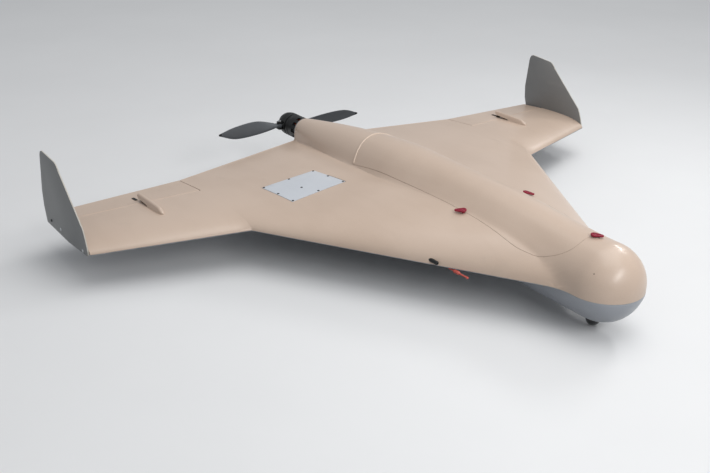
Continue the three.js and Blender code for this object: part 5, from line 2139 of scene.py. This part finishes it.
@dataclass
class Drive(Assembly):
    """Motor and folding propeller, drawn about the tail end with Y along the axis."""

    collar_r: Pair = (3.8, 25.5)
    collar_y: Pair = (0.3, 4)
    collar_soft: float = 0.5
    shaft_bore: float = 2.8
    motor_r: float = 24.5
    wall: float = 2
    bell: Pair = (7, 42)
    end_thick: float = 5
    slots: int = 10
    slot: Pair = (8, 10)
    teeth: int = 12
    tooth: tuple = ((7.4, 21.6), 2.4, 1.6)
    tooth_shoe: tuple = ((20.9, 21.9), 1.5, 2.4)
    turns: int = 7
    turn_r: Pair = (11.6, 1.45)
    turn_half: Pair = (2.2, 0.36)
    windings: Pair = (9.5, 30.5)
    spinner: Triple = (44.5, 10, 41)
    window_x: Pair = (15, 49)
    window_half: Pair = (10, 8.5)
    plane: float = 57
    tip_r: float = 180
    pivot_r: float = 28
    root_r: float = 6
    root_thick: float = 8
    root_end: float = 40.5
    bolt_r: float = 1.9
    yoke: Triple = (19, 6.5, 7.5)
    roll: float = 2.5
    pitch: float = 200
    lean: float = 60
    thin: float = 0.11
    rake: float = 4
    radii: tuple = (28, 34, 84, 140, 180)
    aft: tuple = (5, 5, 15.5, 11, 1.5)
    fore: tuple = (5, 5, 12.5, 14.6, 3)

    def __post_init__(self) -> None:
        """Sets the stands of the motor and of the propeller."""
        self.base = Matrix.Translation((0, self.form.tail_y, self.form.tail_z))
        self.turned = self.base @ Matrix.Rotation(math.radians(self.roll), 4, "Y")

    def build(self) -> None:
        """Motor, spinner, yoke, blades and bolts."""
        self.collar()
        self.bell_can()
        self.coils()
        self.nose_cone()
        self.hub()
        for sign, label in SIDES:
            flip = Matrix.Rotation(math.pi, 4, "Y") if sign < 0 else Matrix.Identity(4)
            self.blade(label, self.turned @ flip)
            self.bolt(sign, label)

    def collar(self) -> None:
        """Grey ring between the tail and the motor, with rounded outer corners."""
        inner, outer = self.collar_r
        start, end = self.collar_y
        soft = self.collar_soft
        edge = soft * 0.3
        profile = [(inner, start), (outer - soft, start), (outer - edge, start + edge), (outer, start + soft)]
        profile += [(outer, end - soft), (outer - edge, end - edge), (outer - soft, end), (inner, end)]
        self.fit(Forge.lathe("mount_ring", profile, 72, self.base), Look.GREY, stands_for=["tail_collar"])

    def bell_can(self) -> None:
        """Motor bell with slots round its front and a ribbed grip at its rear."""
        start, end = self.bell
        outer = self.motor_r
        profile = [(outer - self.wall, start), (outer - 0.5, start), (outer, start + 0.5)]
        for k in range(3):
            y = end - 12 + 2.4 * k
            profile += [(outer, y), (outer - 0.5, y + 0.4), (outer - 0.5, y + 1.0), (outer, y + 1.4)]
        bore, floor = self.shaft_bore, end - self.end_thick
        profile += [(outer, end - 1), (outer - 1, end), (bore, end), (bore, floor)]
        profile.append((outer - self.wall, floor))
        can = Forge.lathe("bell_can", profile, 80, self.base)
        tools = []
        width, length = self.slot
        for i in range(self.slots):
            stand = self.base @ Matrix.Rotation(2 * math.pi * i / self.slots, 4, "Y")
            low, high = (outer - 2 * self.wall, start - 1, -width / 2), (outer + 1, start + length, width / 2)
            tools.append(Forge.bevel(Forge.block("slot", low, high, stand), 1.2, 3))
        Forge.carve(can, Cut.AWAY, *tools)
        self.fit(can, Look.ANODISED, "propeller", ["motor_bell"])

    def coils(self) -> None:
        """Twelve coils of enamelled wire on dark teeth."""
        low, high = self.windings
        loops, teeth = [], []
        for i in range(self.teeth):
            stand = self.base @ Matrix.Rotation(2 * math.pi * i / self.teeth, 4, "Y")
            for (near, far), inset, half in (self.tooth, self.tooth_shoe):
                start, end = (near, low + inset, -half), (far, high - inset, half)
                teeth.append(Forge.block("tooth", start, end, stand))
            for k in range(self.turns):
                radius, half = (first + step * k for first, step in (self.turn_r, self.turn_half))
                loops.append(self.loop(radius, half, low, high, stand))
        self.fit(Forge.merge("wire_coils", loops), Look.COPPER, stands_for=["motor_windings"])
        self.fit(Forge.merge("stator_teeth", teeth), Look.ANODISED)

    @staticmethod
    def loop(radius: float, half: float, low: float, high: float, place: Matrix) -> Piece:
        """One turn of wire round a tooth.

        Args:
            radius: its distance from the axis.
            half: half its width.
            low: its front end.
            high: its rear end.
            place: the tooth's stand.

        Returns:
            The closed turn.
        """
        corner = half * 0.8
        inset = half - corner
        rear, front = high - corner, low + corner
        ends = ((rear, inset), (rear, -inset), (front, -inset), (front, inset))
        path = []
        for quarter, (y, z) in enumerate(ends, -1):
            for a in np.linspace(0, math.pi / 2, 4) + math.pi / 2 * quarter:
                path.append((y + corner * math.cos(a), z - corner * math.sin(a)))
        path = np.array(path)
        middle = path.mean(axis=0)
        rings = []
        for y, z in path:
            away = np.array((y, z)) - middle
            away = away / np.linalg.norm(away)
            ring = []
            for b in np.linspace(0, 2 * math.pi, 6, endpoint=False):
                out = 0.62 * math.cos(b)
                ring.append((radius + 0.7 * math.sin(b), y + away[0] * out, z + away[1] * out))
            rings.append(ring)
        return Forge.loft("turn", rings, place, closed=True)

    def cone_profile(self, wall: float) -> list[Pair]:
        """Spinner outline from axis to axis, drawn in by a wall.

        Args:
            wall: how far it is drawn in.

        Returns:
            (radius, y) points.
        """
        start, straight, length = self.spinner
        radius = self.motor_r - wall
        turn_y, rise = start + straight, length - straight - wall
        base = start + 2.5 if wall else start
        angles = np.linspace(0, math.pi / 2, 22)[:-1]
        profile = [(0, base), (radius - 0.6, base), (radius, base + 0.6)]
        profile += [(radius * math.cos(a), turn_y + rise * math.sin(a)) for a in angles]
        return [*profile, (0, turn_y + rise)]

    def nose_cone(self) -> None:
        """Spinner with a window on each side for the blade roots."""
        cone = Forge.lathe("spinner_shell", self.cone_profile(0), 80, self.turned)
        inner = Forge.lathe("inner", self.cone_profile(1.6), 60, self.turned)
        tools = [inner, Forge.bar("bore", (0, 0, 0), (0, 64.5, 0), self.shaft_bore, place=self.turned)]
        half_y, half_z = self.window_half
        for sign, _ in SIDES:
            near, far = sorted(sign * x for x in self.window_x)
            low, high = (near, self.plane - half_y, -half_z), (far, self.plane + half_y, half_z)
            tools.append(Forge.bevel(Forge.block("window", low, high, self.turned), 1.5, 3))
        Forge.carve(cone, Cut.AWAY, *tools)
        self.fit(cone, Look.BLACK, "propeller", ["prop_spinner"])

    def hub(self) -> None:
        """Yoke across the shaft, with a fork at each end."""
        x, y, z = self.yoke
        low, high = self.plane - y, self.plane + y
        piece = Forge.block("hub_yoke", (-x, low, -z), (x, high, z), self.turned)
        cheek = self.root_thick / 2 + 0.3
        joins, bores = [], [Forge.bar("bore", (0, 0, 0), (0, 80, 0), self.shaft_bore, place=self.turned)]
        for sign, _ in SIDES:
            for side in (-1, 1):
                z0, z1 = sorted((side * cheek, side * z))
                x0, x1 = sorted((sign * (x - 2), sign * self.pivot_r))
                joins.append(Forge.block("cheek", (x0, low, z0), (x1, high, z1), self.turned))
                joins.append(self.pivot_bar("ear", sign, z0, z1, y, 40))
            bores.append(self.pivot_bar("hole", sign, -2 * z, 2 * z, self.bolt_r + 0.3, 24))
        Forge.carve(piece, Cut.JOIN, *joins)
        Forge.carve(piece, Cut.AWAY, *bores)
        self.fit(Forge.bevel(piece, 0.5, 2, 50), Look.ANODISED, "propeller", ["prop_yoke"])

    def pivot_bar(
        self,
        name: str,
        sign: int,
        start: float,
        end: float,
        radius: float,
        sides: int = 24,
        place: Matrix | None = None,
    ) -> Piece:
        """Bar along a blade's pivot.

        Args:
            name: object name.
            sign: -1 for starboard, 1 for port.
            start: first end's height.
            end: second end's height.
            radius: radius.
            sides: points around.
            place: stand, if not the propeller's.

        Returns:
            The bar.
        """
        low, high = ((sign * self.pivot_r, self.plane, z) for z in (start, end))
        return Forge.bar(name, low, high, radius, sides=sides, place=place or self.turned)

    def bolt(self, sign: int, label: str) -> None:
        """Pivot bolt with a socket head and a nut.

        Args:
            sign: -1 for starboard, 1 for port.
            label: the side's name.
        """
        top = self.yoke[2] + 0.3
        shank = self.pivot_bar(f"pivot_bolt_{label}", sign, -top - 0.2, top + 0.2, self.bolt_r)
        head = Forge.bevel(self.pivot_bar("head", sign, top, top + 2.6, 3.6, 32), 0.4, 2)
        socket = self.pivot_bar("socket", sign, top + 1.0, top + 4, 1.6, 6)
        nut = Forge.bevel(self.pivot_bar("nut", sign, -top - 2.6, -top, 3.6, 6), 0.3, 2)
        Forge.carve(head, Cut.AWAY, socket)
        Forge.carve(shank, Cut.JOIN, head, nut)
        self.fit(shank, Look.STEEL, "propeller", [f"blade_bolt_{label}"])

    def blade(self, label: str, stand: Matrix) -> None:
        """One blade with its root lug, twisted as a screw of constant pitch.

        Args:
            label: the side's name.
            stand: where a blade along +X stands.
        """
        count, around = 64, 36
        aft = catmull(list(zip(self.radii, self.aft)), count)
        fore = catmull(list(zip(self.radii, self.fore)), count)
        rings = []
        for (radius, back), (_, front) in zip(aft, fore):
            chord = back + front
            twist = min(math.atan2(self.pitch, 2 * math.pi * radius), math.radians(self.lean))
            thick = min(max(chord * self.thin, remap(radius, self.pivot_r, 84, 7, 3)), self.root_thick - 1)
            bend = self.rake * remap(radius, self.pivot_r, self.tip_r, 0, 1) ** 2
            ring = []
            for k in range(around):
                a = 2 * math.pi * k / around
                flat = math.copysign(abs(math.sin(a)) ** 1.15, math.sin(a))
                along = (front - back) / 2 + chord / 2 * math.cos(a)
                across = thick / 2 * flat * (1 + 0.3 * math.cos(a))
                y = -along * math.sin(twist) + across * math.cos(twist)
                z = along * math.cos(twist) + across * math.sin(twist)
                ring.append((radius, self.plane + y - bend, z))
            rings.append(ring)
        end = np.mean(rings[-1], axis=0)
        for step in (0.35, 0.7, 0.92):
            outward = np.array((2.2 * step, 0, 0))
            rings.append([tuple(lerp(np.array(p), end, step**2) + outward) for p in rings[count - 1]])
        piece = Forge.loft(f"blade_{label}_moulding", rings, stand)
        half = self.root_thick / 2
        reach_x, reach_y = 2 * self.tip_r, 2 * self.plane
        near = Forge.block("near", (0, 0, -half), (reach_x, reach_y, half), stand)
        wide = self.pivot_r
        far = Forge.block("far", (self.root_end, 0, -wide), (reach_x, reach_y, wide), stand)
        Forge.carve(near, Cut.JOIN, far)
        Forge.carve(piece, Cut.KEEP, near)
        lug = Forge.bevel(self.pivot_bar("lug", 1, -half, half, self.root_r, 40, stand), 0.6, 2)
        Forge.carve(piece, Cut.JOIN, lug)
        hole = self.pivot_bar("hole", 1, -2 * half, 2 * half, self.bolt_r + 0.4, 24, stand)
        Forge.carve(piece, Cut.AWAY, hole)
        back = (Forge.shift @ stand).inverted()
        tip = [(back @ face.center).x > self.tip_r - 5 for face in piece.data.polygons]
        self.two_looks(piece, Look.BLADE, Look.BLACK, tip)
        self.fit(piece, Look.BLADE, f"blade_{label}", [f"prop_blade_{label}"])


@dataclass
class Underside(Assembly):
    """Camera dome under the nose, and the shoe for a stand."""

    dome_z: float = -59
    dome_r: float = 12
    dome_top: float = -44
    shoe_y: float = -310
    shoe_size: Pair = (52, 190)
    shoe_z: Pair = (-46.5, -20)
    bore_r: float = 4.8

    def build(self) -> None:
        """Dome and shoe."""
        self.dome()
        self.shoe()

    def dome(self) -> None:
        """Smoked dome with a thin wall."""
        stand = Matrix.Translation((0, DOME_Y, self.dome_z)) @ Matrix.Rotation(math.pi / 2, 4, "X")
        top, wall = self.dome_top - self.dome_z, 1.5
        radius, bore = self.dome_r, self.dome_r - wall
        outer = [(radius * math.cos(a), radius * math.sin(a)) for a in np.linspace(-math.pi / 2, 0, 20)]
        inner = [(bore * math.cos(a), bore * math.sin(a)) for a in np.linspace(0, -math.pi / 2, 16)]
        outer[0], inner[-1] = (0, outer[0][1]), (0, inner[-1][1])
        profile = [*outer, (radius, top), (bore, top), *inner]
        self.fit(Forge.lathe("smoked_shell", profile, 64, stand), Look.DOME, stands_for=["camera_dome"])

    def shoe(self) -> None:
        """Shoe shaped to the belly, with a lined bore and four screws."""
        (width, length), (low, high) = self.shoe_size, self.shoe_z
        y0, y1 = self.shoe_y - length / 2, self.shoe_y + length / 2
        piece = Forge.block("stand_shoe", (-width / 2, y0, low), (width / 2, y1, high))
        Forge.bevel(piece, 2.5, 4)
        body = self.form.hull("belly", 0, Detail(6, 30, 14, 6, 16, 8, 2))
        body.data.transform(Matrix.Translation((0, 0, -0.3 * MM)))
        bore = Forge.bar("bore", (0, self.shoe_y, low - 1), (0, self.shoe_y, 0), self.bore_r, sides=48)
        Forge.carve(piece, Cut.AWAY, body, bore)
        self.fit(piece, Look.SHOE, stands_for=["belly_shoe"])
        liner = [(self.bore_r - 0.9, 0.4), (self.bore_r, 0.2), (self.bore_r, 9), (self.bore_r - 0.9, 9)]
        stand = Matrix.Translation((0, self.shoe_y, low)) @ Matrix.Rotation(math.pi / 2, 4, "X")
        self.fit(Forge.lathe("thread_liner", liner, 48, stand), Look.STEEL)
        heads = []
        for x in (-17, 17):
            for y in (y0 + 16, y1 - 16):
                stand = Matrix.Translation((x, y, low)) @ Matrix.Rotation(math.pi, 4, "X")
                heads.append(self.screw("head", stand, 3.2, 0.05))
        self.fit(Forge.merge("shoe_screws", heads), Look.ANODISED)


@dataclass
class InnerParts(Assembly):
    """Details on the equipment under the hatch, and finishes for the CAD nodes that stay visible."""

    plain: tuple = (
        (Look.CARBON, ("panel_frame", "spar_block", "wing_spar_starboard", "wing_spar_port")),
        (Look.PLYWOOD, ("nose_former", "bay_former", "motor_bulkhead")),
        (Look.PLYWOOD, ("equipment_tray", "tail_tray", "camera_shelf")),
        (Look.PLYWOOD, ("root_rib_starboard", "root_rib_port", "kink_rib_starboard", "kink_rib_port")),
        (Look.WRAP, ("battery_pack",)),
        (Look.CIRCUIT, ("flight_controller",)),
        (Look.BLACK, ("radio_receiver", "speed_controller", "gnss_antenna", "camera_module")),
        (Look.BLACK, ("servo_starboard", "servo_port")),
        (Look.WEB, ("battery_strap",)),
        (Look.ANODISED, ("motor_stator",)),
        (Look.STEEL, ("motor_shaft", "hinge_rod_starboard", "hinge_rod_port")),
        (Look.ANODISED, ("pushrod_starboard", "pushrod_port")),
        (Look.BLACK, ("servo_arm_starboard", "servo_arm_port")),
        (Look.BLACK, ("control_horn_starboard", "control_horn_port")),
    )

    def build(self, nodes: dict[str, Piece]) -> None:
        """Finishes the plain nodes and adds the equipment's details.

        Args:
            nodes: the CAD nodes by name.
        """
        for look, names in self.plain:
            for name in names:
                nodes[name].data.materials.clear()
                nodes[name].data.materials.append(self.finishes.get(look))
                look.slot
        self.controller()
        self.ribs("radio_receiver", "receiver_ribs", Look.GREY)
        self.ribs("speed_controller", "cooling_fins", Look.ANODISED)
        self.battery()

    @staticmethod
    def top(node: str) -> tuple[Vector, Vector]:
        """Lowest and highest corners of a node in millimetres about the airframe's origin.

        Args:
            node: the CAD node.

        Returns:
            The two corners.
        """
        low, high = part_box(node)
        shift = Vector(AIRFRAME_SHIFT)
        return low / MM - shift, high / MM - shift

    def chips(self, name: str, look: Look, spots: Sequence[tuple], base: Vector, top: float) -> None:
        """Row of small parts on a board.

        Args:
            name: object name.
            look: their finish.
            spots: (x, y, width, length, height) of each about the base.
            base: centre of the board.
            top: height of the board's face.
        """
        parts = []
        for x, y, w, l, h in spots:
            low = (base.x + x - w / 2, base.y + y - l / 2, top)
            high = (base.x + x + w / 2, base.y + y + l / 2, top + h)
            parts.append(Forge.bevel(Forge.block("part", low, high), min(w, l, h) * 0.12, 2))
        self.fit(Forge.merge(name, parts), look)

    def controller(self) -> None:
        """Chips, headers and capacitors on the flight controller."""
        low, high = self.top("flight_controller")
        base = (low + high) / 2
        dark = [(0, 4, 14, 14, 2), (-10, -16, 7, 7, 1.6), (10, -16, 8, 5, 1.6), (-11, 18, 6, 6, 1.4)]
        self.chips("controller_chips", Look.BLACK, dark, base, high.z)
        pins = [(side * 16.5, -24 + 4 * i, 2.2, 3.2, 4.5) for side in (-1, 1) for i in range(13)]
        self.chips("controller_headers", Look.STEEL, pins, base, high.z)
        self.chips("controller_sockets", Look.PANEL, [(0, 25.5, 16, 6, 5), (6, -26, 10, 5, 4)], base, high.z)

    def ribs(self, node: str, name: str, look: Look) -> None:
        """Row of ribs on top of a node.

        Args:
            node: the CAD node.
            name: object name.
            look: their finish.
        """
        low, high = self.top(node)
        half = (high.y - low.y) / 2 - 4
        rows = [(0, -half + 4 * i, (high.x - low.x) - 5, 1.4, 2.2) for i in range(int(half / 2) + 1)]
        self.chips(name, look, rows, (low + high) / 2, high.z)

    def battery(self) -> None:
        """End caps of the pack, with its two power sockets."""
        low, high = self.top("battery_pack")
        caps = []
        for y in (low.y, high.y):
            near, far = (low.x + 1.5, y - 0.8, low.z + 1.5), (high.x - 1.5, y + 0.8, high.z - 1.5)
            caps.append(Forge.bevel(Forge.block("cap", near, far), 0.6, 2))
        for x in (-12, 12):
            block = Forge.block("socket", (x - 6, high.y, high.z - 20), (x + 6, high.y + 9, high.z - 10))
            caps.append(Forge.bevel(block, 1.2, 3))
        self.fit(Forge.merge("battery_caps", caps), Look.BLACK)


# Studio


@dataclass
class Studio:
    """Pale floor, soft light and the camera at the photograph's angle."""

    eye: Triple = (-1.19478, -1.349434, 0.81141)
    right: Triple = (0.800729, -0.598764, 0.017708)
    down: Triple = (-0.233954, -0.339808, -0.910931)
    ahead: Triple = (0.551451, 0.725267, -0.412178)
    sensor: float = 36.0
    lens: float = 52.33
    glint: tuple = ((-0.414, -0.833, 0.367), (0.362, -0.592, 0.720))
    reach: float = 2.6
    glint_from: Triple = (-0.0265, -0.4752, 0.1212)
    side_way: Triple = (0.8, 0.26, 0.53)
    side_along: Triple = (0, -0.29, 0.17)
    floor_r: float = 30
    floor_steps: int = 96
    sky: tuple = (((0.93, 0.96, 1.0, 1), 0.42), ((1, 1, 1, 1), 1.0))

    def build(self) -> None:
        """Sets up the whole studio."""
        self.camera()
        self.floor()
        self.lights()
        bpy.context.scene.view_settings.view_transform = "Standard"

    def camera(self) -> None:
        """Camera that sees the drone as the photograph does."""
        data = bpy.data.cameras.new("camera")
        data.sensor_width, data.lens, data.clip_end = self.sensor, self.lens, 200
        camera = Forge.link("camera", data)
        axes = Matrix((self.right, tuple(-c for c in self.down), tuple(-c for c in self.ahead))).transposed()
        camera.matrix_world = Matrix.Translation(self.eye) @ axes.to_4x4()
        bpy.context.scene.camera = camera

    def floor(self) -> None:
        """Wide pale floor with a faint mottle, clear from below, and a white world behind it."""
        graph = Surface("studio_floor")
        mottle = graph.noise(2.2, 5.0)
        rays = graph.node("ShaderNodeLightPath")
        seen = Wire(graph, rays.outputs["Is Camera Ray"])
        for name in ("Is Glossy Ray", "Is Transmission Ray"):
            seen = seen.math("MAXIMUM", seen, Wire(graph, rays.outputs[name]))
        pale = graph.mix(srgb("e4e4e4"), srgb("ececec"), mottle)
        color = graph.mix(srgb("a8a8a8"), pale, seen)
        graph.set(Base_Color=color, Roughness=0.6 + mottle * 0.2, Specular_IOR_Level=0.0)
        under = graph.out("ShaderNodeNewGeometry", "Backfacing")
        clear = graph.out("ShaderNodeBsdfTransparent", "BSDF")
        solid = Wire(graph, graph.shader.outputs["BSDF"])
        output = next(n for n in graph.tree.nodes if n.type == "OUTPUT_MATERIAL")
        both = graph.out("ShaderNodeMixShader", "Shader", None, {0: under, 1: solid, 2: clear})
        graph.feed(output.inputs["Surface"], both)
        angles = [2 * math.pi * i / self.floor_steps for i in range(self.floor_steps)]
        rim = [(self.floor_r * math.cos(a), self.floor_r * math.sin(a), 0) for a in angles]
        data = bpy.data.meshes.new("studio_floor")
        data.from_pydata(rim, [], [tuple(range(self.floor_steps))])
        data.materials.append(graph.material)
        Forge.link("studio_floor", data)

    def lights(self) -> None:
        """Even sky, a broad overhead softbox, a side fill and a small window for the nose's glint."""
        world = bpy.data.worlds.new("studio_sky")
        world.use_nodes = True
        graph = Graph(world.node_tree)
        graph.tree.nodes.clear()
        shades = []
        for color, strength in self.sky:
            sockets = {"Color": color, "Strength": strength}
            shades.append(graph.out("ShaderNodeBackground", "Background", None, sockets))
        seen = graph.out("ShaderNodeLightPath", "Is Camera Ray")
        blend = graph.out("ShaderNodeMixShader", "Shader", None, {0: seen, 1: shades[0], 2: shades[1]})
        graph.node("ShaderNodeOutputWorld", None, {"Surface": blend})
        bpy.context.scene.world = world
        self.lamp("overhead", Vector((0.6, -0.4, 3.2)), Vector(), (3.4, 2.6), 50)
        start = Vector(self.glint_from)
        ends = [start + Vector(way).normalized() * self.reach for way in self.glint]
        along = ends[1] - ends[0]
        self.lamp("front_strip", (ends[0] + ends[1]) / 2, start, (along.length * 0.8, 0.5), 4.5, along, 70)
        side = start + Vector(self.side_way) * self.reach
        self.lamp("side_strip", side, start, (0.9, 0.16), 2, Vector(self.side_along), 70)

    @staticmethod
    def lamp(
        name: str,
        place: Vector,
        target: Vector,
        size: Pair,
        watts: float,
        along: Vector | None = None,
        spread: float = 180,
    ) -> None:
        """Rectangular soft lamp.

        Args:
            name: object name.
            place: where it stands.
            target: what it faces.
            size: its width and height.
            watts: its power.
            along: direction of its width, if it is a strip.
            spread: its beam in degrees.
        """
        data = bpy.data.lights.new(name, "AREA")
        data.shape = "RECTANGLE"
        data.size, data.size_y = size
        data.energy = watts
        data.spread = math.radians(spread)
        lamp = Forge.link(name, data)
        lamp.location = place
        lamp.rotation_euler = (target - place).to_track_quat("-Z", "Y").to_euler()
        if along is not None:
            back = (place - target).normalized()
            wide = (along - back * along.dot(back)).normalized()
            lamp.rotation_euler = Matrix((wide, back.cross(wide), back)).transposed().to_euler()


def main() -> None:
    """Builds every sub-assembly in order."""
    logging.basicConfig(level=logging.INFO, format="%(name)s %(message)s")
    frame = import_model()
    form, finishes = BodyForm(), Finishes()
    for maker in (Skins, SkinFittings, TipFins, Linkages, Drive, Underside):
        maker(form, finishes).build()
        log.info("%s done", maker.__name__)
    InnerParts(form, finishes).build(frame["nodes"])
    Studio().build()


if __name__ == "__main__":
    main()
